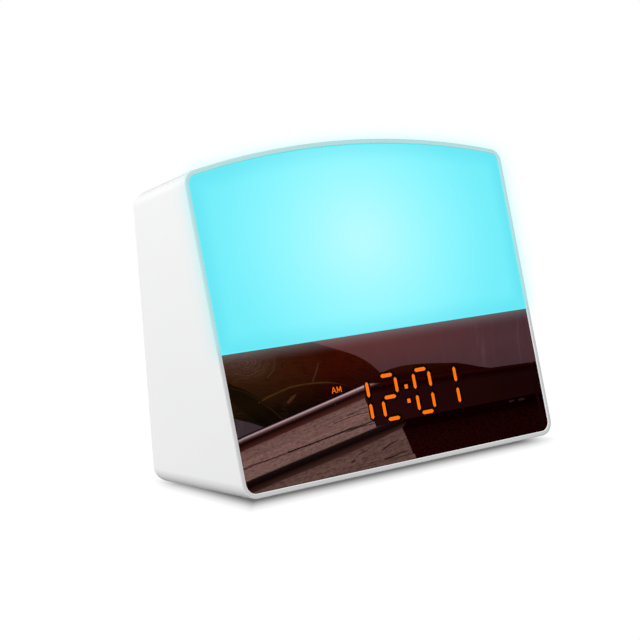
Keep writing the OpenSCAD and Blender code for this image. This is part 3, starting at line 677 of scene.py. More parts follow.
def lit_panel():
    """Opal acrylic lit from behind: brightest in the middle, deeper cyan towards its edges."""
    s = Shade("lit_panel")
    org = face(-2.5, PANEL_IN, 95.5)
    rel = s.add("ShaderNodeVectorMath", {"operation": "SUBTRACT"}, i0=s.pos, i1=org).outputs[0]
    dx = s.math("MULTIPLY", s.dot(rel, (1, 0, 0)), 1 / MM)
    dv = s.math("MULTIPLY", s.dot(rel, (0, SN, CS)), 1 / MM)
    r = s.math("SQRT", s.math("ADD", s.math("MULTIPLY", dx, dx), s.math("MULTIPLY", s.math("MULTIPLY", dv, dv), 1.32)))
    glow = s.ramp(s.math("DIVIDE", r, 90.0), [
        (0.0, lin(182, 250, 255)), (10 / 90, lin(176, 249, 254)), (24 / 90, lin(160, 248, 254)), (40 / 90, lin(143, 245, 253)),
        (55 / 90, lin(129, 241, 251)), (68 / 90, lin(116, 237, 249)), (1.0, lin(108, 234, 247))], "B_SPLINE")
    # distance to the panel's edge
    x = s.math("ADD", dx, -2.5)
    v = s.math("ADD", dv, 95.5)
    side = s.math("SUBTRACT", s.math("ADD", s.math("MULTIPLY", v, math.tan(FLARE)), HALF_W - 0.37 - WALL - 0.1), s.math("ABSOLUTE", x))
    low = s.math("SUBTRACT", v, SPLIT_V + 0.07)
    up = s.math("ADD", v, -ARCH_C)
    top = s.math("SUBTRACT", ARCH_R - WALL - 0.1, s.math("SQRT", s.math("ADD", s.math("MULTIPLY", x, x), s.math("MULTIPLY", up, up))))
    edge = s.math("SMOOTH_MIN", s.math("SMOOTH_MIN", side, low, 3.0), top, 3.0)
    dim = s.span(edge, 0.5, 9.0, 1.0, 0.0, "SMOOTHSTEP")
    deep = s.mix(s.math("MULTIPLY", dim, 0.9), glow, (0.80, 0.925, 0.945), "MULTIPLY")
    rim = s.span(edge, 0.25, 0.6, 1.0, 0.0, "SMOOTHSTEP")
    light = s.mix(s.math("MULTIPLY", rim, 0.8), deep, lin(92, 242, 255))
    s.principled(
        Base_Color=s.mix(s.noise(60.0, 2.0), (0.010, 0.030, 0.034), (0.012, 0.034, 0.038)),
        Roughness=s.span(s.noise(900.0, 2.0), 0.3, 0.7, 0.36, 0.46),
        Specular_IOR_Level=0.15,
        Emission_Color=light,
        Emission_Strength=1.0,
        Normal=s.bump(s.noise(1800.0, 2.0), 0.2, 0.004 * MM),
    )
    return s.mat


def mirror_film():
    """Half-mirror film: a dark warm reflection. The lit panel above it bleeds a little light into its top edge."""
    s = Shade("mirror_film")
    haze = s.noise(70.0, 4.0, 0.6)
    v = s.math("DIVIDE", s.dot(s.math_vec(face(0, 0, SPLIT_V)), (0, SN, CS)), MM)
    bleed = s.math("POWER", s.span(v, -6.0, 0.0, 0.0, 1.0), 2.2)
    s.principled(
        Base_Color=s.mix(s.span(haze, 0.3, 0.7, 0.0, 1.0), (0.225, 0.205, 0.200), (0.245, 0.225, 0.220)),
        Metallic=1.0,
        Roughness=s.span(haze, 0.3, 0.7, 0.006, 0.012),
        Emission_Color=(0.80, 0.92, 1.0),
        Emission_Strength=s.math("MULTIPLY", bleed, 0.105),
    )
    return s.mat


def mirror_face():
    """Clear acrylic in front of the film."""
    s = Shade("mirror_face")
    s.principled(
        Base_Color=s.mix(s.noise(40.0, 2.0), (0.004, 0.0015, 0.0015), (0.005, 0.002, 0.002)),
        Roughness=s.span(s.noise(300.0, 2.0), 0.3, 0.7, 0.02, 0.04),
        Specular_IOR_Level=0.2,
        Alpha=0.05,
    )
    return s.mat


def glow_orange(name, strength=1.0):
    s = Shade(name)
    cell = s.noise(700.0, 1.0)
    color = s.mix(s.span(cell, 0.3, 0.7, 0.0, 1.0), lin(255, 107, 5), lin(255, 115, 8))
    s.principled(Base_Color=(0.10, 0.03, 0.0), Roughness=0.5, Specular_IOR_Level=0.1, Emission_Color=color, Emission_Strength=strength)
    return s.mat


WHITE = housing_white()
PANEL = lit_panel()
ORANGE = glow_orange("lit_orange_glow", 1.15)
KEY_WHITE = plastic("key_white", (0.74, 0.75, 0.77), 0.38, 0.012, 3000.0, 0.008)
STEEL = metal("zinc_steel", (0.60, 0.61, 0.64), 0.26)
BLACK = plastic("black_abs", (0.018, 0.018, 0.02), 0.5, 0.15, 1800.0, 0.02)
DEEP_BLACK = plastic("display_black_face", (0.0035, 0.003, 0.003), 0.6, 0.2, 1500.0, 0.004, spec=0.12)

housing = build_housing(WHITE)

diffuser = refine("light_diffuser", PANEL, bevel=0.18, segments=2)
lens = refine("mirror_lens", mirror_face(), bevel=0.15, segments=2)
refine("digit_bars_lit", ORANGE)
refine("am_indicator", glow_orange("am_orange_glow", 1.0))
refine("display_block", DEEP_BLACK, bevel=0.2)


# ------------------------------------------------------------------ coating of the mirror, with a window in it for each light bar
def bar_outline(cx, cv, length, upright, grow):
    """Pointed bar as in the display, grown on all sides."""
    l, w = length / 2, (BAR_W - 0.15 * upright) / 2
    k = grow * (math.sqrt(2) - 1)
    pts = [(-l - grow * math.sqrt(2), 0), (-l + w - k, -w - grow), (l - w + k, -w - grow), (l + grow * math.sqrt(2), 0), (l - w + k, w + grow), (-l + w - k, w + grow)]
    if upright:
        pts = [(-b, a) for a, b in pts]
    return [(cx + a, cv + b) for a, b in pts]


def digit_bars(x, on, grow):
    dy = DIGIT_H / 2
    where = {"a": (0, dy, 6.1, 0), "g": (0, 0, 6.1, 0), "d": (0, -dy, 6.1, 0), "b": (DIGIT_W / 2, dy / 2, 6.3, 1), "f": (-DIGIT_W / 2, dy / 2, 6.3, 1), "c": (DIGIT_W / 2, -dy / 2, 6.3, 1), "e": (-DIGIT_W / 2, -dy / 2, 6.3, 1)}
    return [bar_outline(x + where[k][0], DIGIT_V + where[k][1], where[k][2], where[k][3], grow) for k in on]


def stroke_outline(a, b, w, grow):
    d = Vector((b[0] - a[0], b[1] - a[1])).normalized()
    n = Vector((-d.y, d.x)) * (w / 2 + grow)
    a, b = Vector(a) - d * grow, Vector(b) + d * grow
    return [tuple(a - n), tuple(b - n), tuple(b + n), tuple(a + n)]


def depth_loop(e, n):
    """Loop of shell points measured in by e, at depth n behind the face plane."""
    back = np.array([0, CS, -SN])
    return [ln.place(ln.at(e, n / float(ln.front(e)[1] @ back))) for ln in LANES]


def panel_block(e, n0, n1, v1):
    obj = new_object("block", loft("block", [depth_loop(e, n0), depth_loop(e, n1)], close=False, caps=True))
    boolean(obj, block(face, (-100, -10, -20), (100, 12, v1)), "INTERSECT")
    mesh = obj.data
    bpy.data.objects.remove(obj)
    return mesh


def build_film(mat):
    """Half-mirror film on the back of the lens, wrapped round its edges."""
    n0, n1 = PANEL_IN + LENS_T - 0.03, PANEL_IN + LENS_T - 0.01
    obj = new_object("mirror_coating", panel_block(WALL + 0.03, 0.45, n1, SPLIT_V - 0.02))
    boolean(obj, panel_block(WALL + 0.09, -1.0, n0, SPLIT_V - 0.065), "DIFFERENCE")
    grow = 0.9
    upright = digit_bars(DIGIT_X[0], "bc", grow) + digit_bars(DIGIT_X[1], "be", grow) + digit_bars(DIGIT_X[2], "bcef", grow) + digit_bars(DIGIT_X[3], "bc", grow)
    windows = digit_bars(DIGIT_X[1], "agd", grow) + digit_bars(DIGIT_X[2], "ad", grow)
    for s in (-1, 1):
        w, h = 0.75 + grow, 0.85 + grow
        windows.append([(COLON_X - w, 29 + s * 3 - h), (COLON_X + w, 29 + s * 3 - h), (COLON_X + w, 29 + s * 3 + h), (COLON_X - w, 29 + s * 3 + h)])
    for group in (upright, windows):
        boolean(obj, many("windows", [prism(face, w, n0 - 0.5, n1 + 0.5) for w in group]), "DIFFERENCE")
    org, g = (-31.4, 34.5), 0.16
    strokes = [((0, 0), (1.05, 2.8)), ((2.25, 0), (1.05, 2.8)), ((0.45, 0.95), (1.8, 0.95))]
    strokes += [((3.05, 0), (3.05, 2.8)), ((5.15, 0), (5.15, 2.8)), ((3.05, 2.7), (4.1, 0.6)), ((5.15, 2.7), (4.1, 0.6))]
    for a, b in strokes:
        out = [(org[0] + 0.88 * x, org[1] + 0.88 * y) for x, y in stroke_outline(a, b, 0.33, g)]
        boolean(obj, prism(face, out, n0 - 0.5, n1 + 0.5), "DIFFERENCE")
    obj.data.materials.clear()
    obj.data.materials.append(mat)
    smooth(obj, 30, weighted=False)
    return place_piece(obj, "clock", "dark_mirror")


build_film(mirror_film())


def build_film_edge():
    """Border of the film as seen from the front, just under the clear face; its back is a painted reflection in the dim
    room's tones, so that the film behind doesn't show the white rim.
    """
    s = Shade("mirror_film_edge")
    haze = s.noise(70.0, 4.0, 0.6)
    v = s.math("DIVIDE", s.dot(s.math_vec(face(0, 0, SPLIT_V)), (0, SN, CS)), MM)
    # painted glow: emission at the film's top edge, as if the lit panel above bled light into it
    bleed = s.math("POWER", s.span(v, -6.0, 0.0, 0.0, 1.0), 2.2)
    film = s.principled(
        Base_Color=s.mix(s.span(haze, 0.3, 0.7, 0.0, 1.0), (0.225, 0.205, 0.200), (0.245, 0.225, 0.220)),
        Metallic=1.0,
        Roughness=s.span(haze, 0.3, 0.7, 0.006, 0.012),
        Emission_Color=(0.80, 0.92, 1.0),
        Emission_Strength=s.math("MULTIPLY", bleed, 0.105),
    )
    mixed = s.add("ShaderNodeMixShader")
    s.nt.links.new(s.add("ShaderNodeNewGeometry").outputs["Backfacing"], mixed.inputs[0])
    s.nt.links.new(film.outputs["BSDF"], mixed.inputs[1])
    # painted reflection: the back glows in the dim room's colours, darker below 32 mm, in place of what the film would
    # reflect
    up = s.math("DIVIDE", s.dot(s.math_vec(face(0, 0, 0)), (0, SN, CS)), MM)
    painted_room_reflection = s.ramp(s.span(up, 0.0, 57.0, 0.0, 1.0), [(h / 57.0, seen(*c)) for h, c in ((0, (20, 5, 5)), (32, (20, 5, 5)), (33, (70, 45, 50)))], "LINEAR")
    s.nt.links.new(s.add("ShaderNodeEmission", Color=painted_room_reflection).outputs[0], mixed.inputs[2])
    s.nt.links.new(mixed.outputs[0], s.out.inputs["Surface"])
    n = PANEL_IN + 0.02
    outer = [depth_loop(WALL + 0.22, n)[k] for k in range(len(LANES))]
    inner = [depth_loop(WALL + 2.2, n)[k] for k in range(len(LANES))]
    top = (SPLIT_V - 0.02) * MM
    height = lambda p: (p - face(0, 0, 0)).dot(Vector((0, SN, CS)))
    keep = [k for k in range(len(LANES)) if height(outer[k]) < top + 4 * MM]
    # the lanes run up the right side, over the top and down the left side
    first = next(i for i, k in enumerate(keep) if i and k != keep[i - 1] + 1)
    order = keep[first:] + keep[:first]
    def cut(p, q):
        a, b = height(p), height(q)
        return q if b <= top else p + (q - p) * ((top - a) / (b - a)) if a < top else None
    verts, faces = [], []
    for side in (outer, inner):
        pts = [side[k] for k in order]
        low = [i for i, p in enumerate(pts) if height(p) <= top]
        i0, i1 = low[0], low[-1]
        run = [cut(pts[i0], pts[i0 - 1])] + pts[i0:i1 + 1] + [cut(pts[i1], pts[i1 + 1])]
        verts.append((run, i0))
    (a, ia), (b, ib) = verts
    assert ia == ib and len(a) == len(b)
    mesh = mesh_from("mirror_edge", [tuple(p) for p in a + b], [(i, i + 1, len(a) + i + 1, len(a) + i) for i in range(len(a) - 1)])
    obj = new_object("mirror_edge", mesh)
    obj.data.materials.clear()
    obj.data.materials.append(s.mat)
    out = Vector((0, -CS, SN))
    if sum(p.normal.dot(out) for p in mesh.polygons) < 0:
        mesh.flip_normals()
    return place_piece(obj, "clock", "dark_mirror")


# ------------------------------------------------------------------ remaining pieces
def board(name, color, trace):
    """Printed board: solder mask over copper tracks that run square to each other."""
    s = Shade(name)
    x, z = s.dot(s.pos, (1, 0, 0)), s.dot(s.pos, (0, SN, CS))
    def tracks(u, v, step):
        cell = s.math("FRACT", s.math("ADD", s.math("MULTIPLY", u, 1 / step), s.math("MULTIPLY", s.noise(45.0, 0.0, vector=s.add("ShaderNodeCombineXYZ", X=v).outputs[0]), 1.0)))
        line = s.span(s.math("ABSOLUTE", s.math("SUBTRACT", cell, 0.5)), 0.16, 0.20, 1.0, 0.0)
        return s.math("MULTIPLY", line, s.span(s.noise(150.0, 1.0), 0.47, 0.50, 0.0, 1.0))
    path = s.math("MAXIMUM", tracks(x, z, 1.27 * MM), tracks(z, x, 1.9 * MM))
    base = s.mix(path, s.mix(s.noise(200.0, 2.0), color, tuple(c * 0.92 for c in color)), trace)
    s.principled(Base_Color=base, Roughness=s.span(s.noise(400.0, 2.0), 0.3, 0.7, 0.28, 0.42), Specular_IOR_Level=0.5, Normal=s.bump(path, 0.4, 0.03 * MM))
    return s.mat


def weave(name, color, rough, scale, depth, spec=0.3):
    """Fibrous paper or felt."""
    s = Shade(name)
    n = s.noise(scale, 4.0, 0.7, distortion=0.4)
    s.principled(Base_Color=s.mix(n, color, tuple(c * 1.8 for c in color)), Roughness=s.span(n, 0.2, 0.8, rough - 0.08, rough + 0.05), Specular_IOR_Level=spec, Normal=s.bump(n, 0.5, depth * MM))
    return s.mat


def gloss(name, color, rough=0.12, coat=0.0, emit=None, power=0.0):
    s = Shade(name)
    s.principled(
        Base_Color=s.mix(s.noise(90.0, 2.0), color, tuple(c * 0.86 for c in color)),
        Roughness=s.span(s.noise(220.0, 3.0), 0.3, 0.7, rough, rough + 0.08),
        Coat_Weight=coat,
        Emission_Color=emit or (0, 0, 0),
        Emission_Strength=power,
    )
    return s.mat


def cell_material():
    """Wrapped AAA cell: plain grey sleeve, a blue band at the positive end, bare metal ends."""
    s = Shade("cell_sleeve")
    z = s.math("DIVIDE", s.dot(s.pos, (0, 0, 1)), MM)
    x = s.math("DIVIDE", s.dot(s.pos, (1, 0, 0)), MM)
    low = s.math("LESS_THAN", z, 52.5 + LIFT)
    # distance from the end with the spring, for either cell
    d = s.math("ADD", s.math("MULTIPLY", low, s.math("ADD", x, -(BAY_X[0] + 4))), s.math("MULTIPLY", s.math("SUBTRACT", 1.0, low), s.math("SUBTRACT", BAY_X[1] - 4, x)))
    band = s.math("MULTIPLY", s.math("GREATER_THAN", d, 33.0), s.math("LESS_THAN", d, 42.6))
    bare = s.math("MAXIMUM", s.math("LESS_THAN", d, 0.35), s.math("GREATER_THAN", d, 43.2))
    base = s.mix(band, (0.40, 0.41, 0.42), (0.045, 0.12, 0.25))
    base = s.mix(s.math("MULTIPLY", s.noise(300.0, 2.0), 0.2), base, (0.1, 0.1, 0.1))
    base = s.mix(bare, base, (0.62, 0.62, 0.60))
    s.principled(Base_Color=base, Metallic=s.math("MULTIPLY", bare, 0.9), Roughness=s.span(s.noise(180.0, 2.0), 0.3, 0.7, 0.2, 0.34))
    return s.mat


def ribbon_material():
    s = Shade("ribbon_grey")
    x = s.math("DIVIDE", s.dot(s.pos, (1, 0, 0)), 1.0 * MM)
    # painted shade: the grooves between the wires are darker in colour, besides their bump
    ridge = s.math("ABSOLUTE", s.math("SINE", s.math("MULTIPLY", x, math.pi)))
    s.principled(Base_Color=s.mix(ridge, (0.22, 0.22, 0.24), (0.52, 0.52, 0.55)), Roughness=s.span(s.noise(200.0, 2.0), 0.3, 0.7, 0.4, 0.55), Specular_IOR_Level=0.4, Normal=s.bump(ridge, 0.8, 0.2 * MM))
    return s.mat


GREEN = board("board_green", (0.012, 0.090, 0.037), (0.022, 0.122, 0.048))
WHITE_BOARD = board("board_white", (0.70, 0.72, 0.72), (0.60, 0.62, 0.63))
CHIP = plastic("chip_black", (0.018, 0.018, 0.019), 0.5, 0.2, 2500.0, 0.01)
RIBBON = ribbon_material()
WIRE = gloss("wire_red", (0.36, 0.014, 0.012), 0.32)
RUBBER = plastic("foot_rubber", (0.34, 0.34, 0.35), 0.8, 0.06, 1400.0, 0.03, spec=0.25)
SPRING = metal("spring_steel", (0.66, 0.66, 0.67), 0.2)
# painted glow: the reflector's cyan emission stands in for the light of the LEDs falling on it
CHAMBER = gloss("reflector_white", (0.80, 0.82, 0.82), 0.4, 0.0, (0.12, 0.75, 0.85), 0.25)
KEYS = ("set_button", "alarm_button", "light_button", "sound_button", "minus_button", "plus_button")

FINISH = {
    "rear_cover": (WHITE, 0.0), "battery_door": (WHITE, 0.15), "snooze_bar": (KEY_WHITE, 0.5),
    "cover_screws": (STEEL, 0.12), "rubber_feet": (RUBBER, 0.35), "panel_adhesive": (weave("adhesive_foam", (0.045, 0.045, 0.048), 0.85, 900.0, 0.05), 0.0),
    "light_chamber": (CHAMBER, 0.15), "led_board": (WHITE_BOARD, 0.0), "led_chips": (gloss("led_phosphor", (0.80, 0.76, 0.45), 0.25, 0.3, (0.15, 0.9, 1.0), 1.5), 0.08),
    "led_board_screws": (STEEL, 0.08), "carrier_screws": (STEEL, 0.08), "display_frame": (BLACK, 0.12),
    "digit_bars_unlit": (plastic("unlit_bars", (0.006, 0.0045, 0.004), 0.5, 0.2, 1500.0, 0.004, spec=0.15), 0.0),
    "display_board": (GREEN, 0.0), "display_board_screws": (STEEL, 0.08), "display_ribbon": (RIBBON, 0.0), "led_ribbon": (RIBBON, 0.0), "button_ribbon": (RIBBON, 0.0),
    "main_board": (GREEN, 0.0), "processor_chip": (CHIP, 0.1), "board_chips": (CHIP, 0.08), "board_sockets": (plastic("socket_ivory", (0.72, 0.69, 0.58), 0.45, 0.05), 0.15),
    "main_board_screws": (STEEL, 0.08), "snooze_wires": (WIRE, 0.0), "speaker_wires": (WIRE, 0.0), "battery_wires": (WIRE, 0.0),
    "button_board": (GREEN, 0.0), "rear_switches": (CHIP, 0.15), "button_board_screws": (STEEL, 0.08),
    "snooze_board": (GREEN, 0.0), "snooze_switch": (CHIP, 0.15), "snooze_board_screws": (STEEL, 0.08),
    "speaker_basket": (metal("basket_black", (0.035, 0.035, 0.038), 0.42, 0.2), 0.15), "speaker_cone": (weave("cone_paper", (0.014, 0.014, 0.014), 0.85, 500.0, 0.12), 0.0),
    "speaker_magnet": (metal("magnet_nickel", (0.45, 0.44, 0.42), 0.34), 0.3), "speaker_screws": (STEEL, 0.08),
    "backup_cells": (cell_material(), 0.25), "cell_contacts": (metal("contact_nickel", (0.66, 0.62, 0.54), 0.22), 0.06),
    "power_jack": (gloss("jack_black", (0.012, 0.012, 0.013), 0.22), 0.2), "power_jack_pin": (metal("pin_nickel", (0.70, 0.68, 0.62), 0.15), 0.25),
}
for b in KEYS:
    FINISH[b] = (KEY_WHITE, 0.28)


def caps():
    """Four sleeved cans, dark blue with a slow wave of tone, and a bare top."""
    s = Shade("capacitor_sleeve")
    wave = s.noise(30.0, 1.0)
    top = s.span(s.math("DIVIDE", s.dot(s.pos, (0, 1, 0)), MM), 51.4 - 10.6 - BODY_D / 2 + 0.02, 51.4 - 10.6 - BODY_D / 2 + 0.06, 1.0, 0.0)
    base = s.mix(top, s.mix(wave, (0.010, 0.018, 0.075), (0.014, 0.022, 0.095)), (0.70, 0.70, 0.71))
    s.principled(Base_Color=base, Metallic=top, Roughness=s.span(s.noise(200.0, 2.0), 0.3, 0.7, 0.22, 0.32))
    return s.mat


FINISH["capacitors"] = (caps(), 0.3)
for node, (mat, size) in FINISH.items():
    refine(node, mat, bevel=size)

# coil springs of the battery bay, wound instead of the stacked rings of the CAD
cell_y, cell_z = 53.35 + 10.5 / 2, (46.4, 58.6)
coils = []
for x0, sign, z0 in ((BAY_X[0] + 0.7, 1, cell_z[0]), (BAY_X[1] - 0.7, -1, cell_z[1])):
    path = []
    for t in np.linspace(0, 1, 161):
        turn = t * 5.2
        rise = 0.42 + 2.46 * min(max((turn - 0.6) / 4.0, 0.0), 1.0)
        r = 3.6 - 1.6 * min(turn / 4.6, 1.0)
        a = 2 * math.pi * turn
        path.append(stand(x0 + sign * rise, cell_y + r * math.cos(a), z0 + r * math.sin(a)))
    coils.append(tube("coil", path, 0.38 * MM, 12))
piece("wound_springs", many("wound_springs", coils), SPRING, "clock", "screw_steel", ("cell_springs",), angle=50, weighted=False)


# ------------------------------------------------------------------ raised marks on the rear buttons, seen from behind
def marks():
    back = BODY_D - 0.3
    n_keys = len(KEYS)

    def rod_mark(cx, cz, r, seg=28):
        return rod(stand, cx, cz, r, back - 0.05, back + 0.16, seg)

    def ring(cx, cz, r, w, a0=0.0, a1=2 * math.pi, seg=40):
        if a1 - a0 >= 2 * math.pi - 1e-6:
            return lathe(stand, cx, cz, [(r - w / 2, back - 0.05), (r + w / 2, back - 0.05), (r + w / 2, back + 0.16), (r - w / 2, back + 0.16)], seg)
        pts = [(cx + (r + w / 2) * math.cos(a), cz + (r + w / 2) * math.sin(a)) for a in np.linspace(a0, a1, seg)]
        pts += [(cx + (r - w / 2) * math.cos(a), cz + (r - w / 2) * math.sin(a)) for a in np.linspace(a1, a0, seg)]
        return prism(stand, pts, back - 0.05, back + 0.16)

    def bar_mark(cx, cz, ax, az, bx, bz, w=0.42):
        d = Vector((bx - ax, bz - az)).normalized()
        n = Vector((-d.y, d.x)) * w / 2
        a, b = Vector((cx + ax, cz + az)), Vector((cx + bx, cz + bz))
        return prism(stand, [tuple(a - n), tuple(b - n), tuple(b + n), tuple(a + n)], back - 0.05, back + 0.16)

    z = BTN_Z
    for i, key in enumerate(("plus_button", "minus_button", "sound_button", "light_button", "alarm_button", "set_button")):
        x = (i - (n_keys - 1) / 2) * BTN_PITCH
        if key == "plus_button":
            parts = [prism(stand, [(x + a, z + b) for a, b in ((-1.5, -0.24), (-0.24, -0.24), (-0.24, -1.5), (0.24, -1.5), (0.24, -0.24), (1.5, -0.24), (1.5, 0.24), (0.24, 0.24), (0.24, 1.5), (-0.24, 1.5), (-0.24, 0.24), (-1.5, 0.24))], back - 0.05, back + 0.16)]
        elif key == "minus_button":
            parts = [bar_mark(x, z, -1.5, 0, 1.5, 0, 0.48)]
        elif key == "sound_button":
            # note: heads, stems and beam; mirrored because it is read from behind
            parts = [rod_mark(x + 1.15, z - 1.15, 0.55), rod_mark(x - 0.85, z - 0.9, 0.55)]
            parts += [prism(stand, [(x + 0.95, z - 1.1), (x + 0.60, z - 1.1), (x + 0.60, z + 1.0), (x - 1.05, z + 1.25), (x - 1.05, z - 0.9), (x - 1.40, z - 0.9), (x - 1.40, z + 1.75), (x + 0.95, z + 1.4)], back - 0.045, back + 0.155)]
        elif key == "light_button":
            parts = [ring(x, z, 0.85, 0.36)] + [bar_mark(x, z, 1.3 * math.cos(a), 1.3 * math.sin(a), 1.9 * math.cos(a), 1.9 * math.sin(a), 0.34) for a in np.linspace(0, 2 * math.pi, 8, endpoint=False)]
        elif key == "alarm_button":
            bell = [(-1.35, -0.9), (1.35, -0.9), (1.35, -0.62), (1.05, -0.35), (0.98, 0.35)]
            bell += [(0.98 * math.cos(a), 0.35 + 1.05 * math.sin(a)) for a in np.linspace(0.2, math.pi - 0.2, 15)] + [(-0.98, 0.35), (-1.05, -0.35), (-1.35, -0.62)]
            parts = [prism(stand, [(x + a, z + b) for a, b in bell], back - 0.05, back + 0.16), rod_mark(x, z - 1.35, 0.34), ]
        else:
            parts = [ring(x, z, 1.6, 0.36)]
            parts += [prism(stand, [(x + a, z + b) for a, b in ((-0.18, -0.18), (0.18, -0.18), (0.18, 0.98), (-0.18, 0.98))], back - 0.05, back + 0.16), bar_mark(x, z, -0.19, 0.0, -0.95, 0.0, 0.34)]
        piece(key + "_mark", many(key + "_mark", parts), MARK, key, "button_white")


MARK = plastic("mark_grey", (0.28, 0.29, 0.31), 0.5, 0.05, 2000.0, 0.01)
marks()


# ------------------------------------------------------------------ studio
def stage_object(name, mesh, mat, **visible):
    obj = new_object(name, mesh)
    obj.data.materials.clear()
    obj.data.materials.append(mat)
    for key in ("camera", "diffuse", "glossy", "transmission", "volume_scatter", "shadow"):
        setattr(obj, "visible_" + key, visible.get(key, False))
    obj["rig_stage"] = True
    return obj


def floor_material():
    """White cut-out floor with the soft shadow of the clock painted under it, thrown straight towards the viewer."""
    s = Shade("studio_floor")
    dx, dy = math.sin(math.radians(37.7)), math.cos(math.radians(37.7))
    x, y = s.dot(s.pos, (1 / MM, 0, 0)), s.dot(s.pos, (0, 1 / MM, 0))
    half = BODY_D / 2
    # way back from a point of the floor to the clock's outline, and where it meets the outline
    t = s.math("MAXIMUM", s.math("MULTIPLY", s.math("SUBTRACT", 1.2 - half, y), 1 / dy), s.math("MULTIPLY", s.math("SUBTRACT", 4.0 - HALF_W, x), 1 / dx))
    out = s.math("MAXIMUM", t, 0.0)
    hx, hy = s.math("MULTIPLY_ADD", out, dx, x), s.math("MULTIPLY_ADD", out, dy, y)
    ends = s.math("MULTIPLY", s.span(hx, HALF_W - 14, HALF_W + 6, 1.0, 0.0, "SMOOTHSTEP"), s.span(hy, half - 10, half + 10, 1.0, 0.0, "SMOOTHSTEP"))
    lo, hi = -16.0, 20.0
    dark = s.ramp(s.span(t, lo, hi, 0.0, 1.0), [((p - lo) / (hi - lo), (v, v, v)) for p, v in
        ((-16, 0.92), (-9, 0.82), (2, 0.23), (9, 0.03), (18, 0.0))], "LINEAR")
    grain = s.span(s.noise(3.0, 2.0), 0.0, 1.0, 1.02, 1.03)
    glow = s.add("ShaderNodeEmission", Color=(1, 1, 1), Strength=s.math("MULTIPLY", grain, s.math("SUBTRACT", 1.0, s.math("MULTIPLY", dark, ends))))
    # clear from below, so that the underside can be looked at
    mixed = s.add("ShaderNodeMixShader")
    s.nt.links.new(s.add("ShaderNodeNewGeometry").outputs["Backfacing"], mixed.inputs[0])
    s.nt.links.new(glow.outputs[0], mixed.inputs[1])
    s.nt.links.new(s.add("ShaderNodeBsdfTransparent").outputs[0], mixed.inputs[2])
    s.nt.links.new(mixed.outputs[0], s.out.inputs["Surface"])
    return s.mat


def disk_mesh(name, r, z, seg=128):
    return mesh_from(name, [(r * math.cos(a), r * math.sin(a), z) for a in np.linspace(0, 2 * math.pi, seg, endpoint=False)], [tuple(range(seg))])


floor = stage_object("floor", disk_mesh("floor", 0.9, 0.0), floor_material(), camera=True, shadow=True)


def sphere_mesh(name, r, centre=(0, 0, 0), keep=None, rings=32):
    bm = bmesh.new()
    bmesh.ops.create_uvsphere(bm, u_segments=rings * 2, v_segments=rings, radius=r)
    bmesh.ops.translate(bm, verts=bm.verts, vec=centre)
    if keep:
        gone = [v for v in bm.verts if not keep(v.co)]
        bmesh.ops.delete(bm, geom=gone, context="VERTS")
    mesh = bpy.data.meshes.new(name)
    bm.to_mesh(mesh)
    bm.free()
    return mesh


white_air = Shade("backdrop_white")
white_air.emission((1, 1, 1), 1.003)
backdrop = stage_object("backdrop", sphere_mesh("backdrop", 3.0), white_air.mat, camera=True)

# what the mirror and the gloss of the front see: a dim warm room, seen by reflections only
OUT = Vector((0, -CS, SN))
hood_mat = Shade("dim_room")
up = hood_mat.span(hood_mat.dot(hood_mat.pos, (0, 0, 1)), -0.2, 0.9, 0.0, 1.0)
hood_mat.emission(hood_mat.ramp(up, [(0.0, (0.05, 0.012, 0.012)), (0.3, (0.12, 0.035, 0.04)), (0.6, (0.30, 0.15, 0.18)), (1.0, (0.40, 0.26, 0.30))]), 1.0)
hood = stage_object("dim_room", sphere_mesh("dim_room", 1.6, keep=lambda c: c.dot(OUT) > -0.05), hood_mat.mat, glossy=True)

# Reflections lie in planes square to the mirrored line of sight; one local unit is 1000 steps of the drawing below.
FOCAL = 1582.126
P0 = face(0, PANEL_IN + LENS_T - 0.03, 0)
flip = lambda v: v - OUT * (2 * v.dot(OUT))
EYE = P0 + flip(CAM_POS - P0)
FX, FY, FZ = flip(CAM_X), flip(CAM_Y), flip(-CAM_Z)


def seen(r, g, b):
    """Light that the film turns into this display colour."""
    return tuple(c / k for c, k in zip(lin(r, g, b), (0.212, 0.194, 0.190)))


build_film_edge()


def flat(name, outline, depth, mat):
    s = depth / FOCAL * 220.0
    mesh = mesh_from(name, [(x / 1000, -y / 1000, 0) for x, y in outline], [tuple(range(len(outline)))])
    obj = stage_object(name, mesh, mat, glossy=True)
    at = EYE + FZ * depth + FX * (depth / FOCAL * (215 - 320)) + FY * (depth / FOCAL * (320 - 300))
    m = Matrix((FX * s, FY * s, FZ * s)).transposed().to_4x4()
    m.translation = at
    obj.matrix_world = m
    return obj


def along(sh, a, b):
    """How far a point lies across the line a to b of the drawing, positive below it, in local units."""
    dx, dy = (b[0] - a[0]) / 1000, -(b[1] - a[1]) / 1000
    l = math.hypot(dx, dy)
    nx, ny = dy / l, -dx / l
    return sh.math("ADD", sh.dot(sh.pos, (nx, ny, 0)), -(nx * a[0] / 1000 - ny * a[1] / 1000))


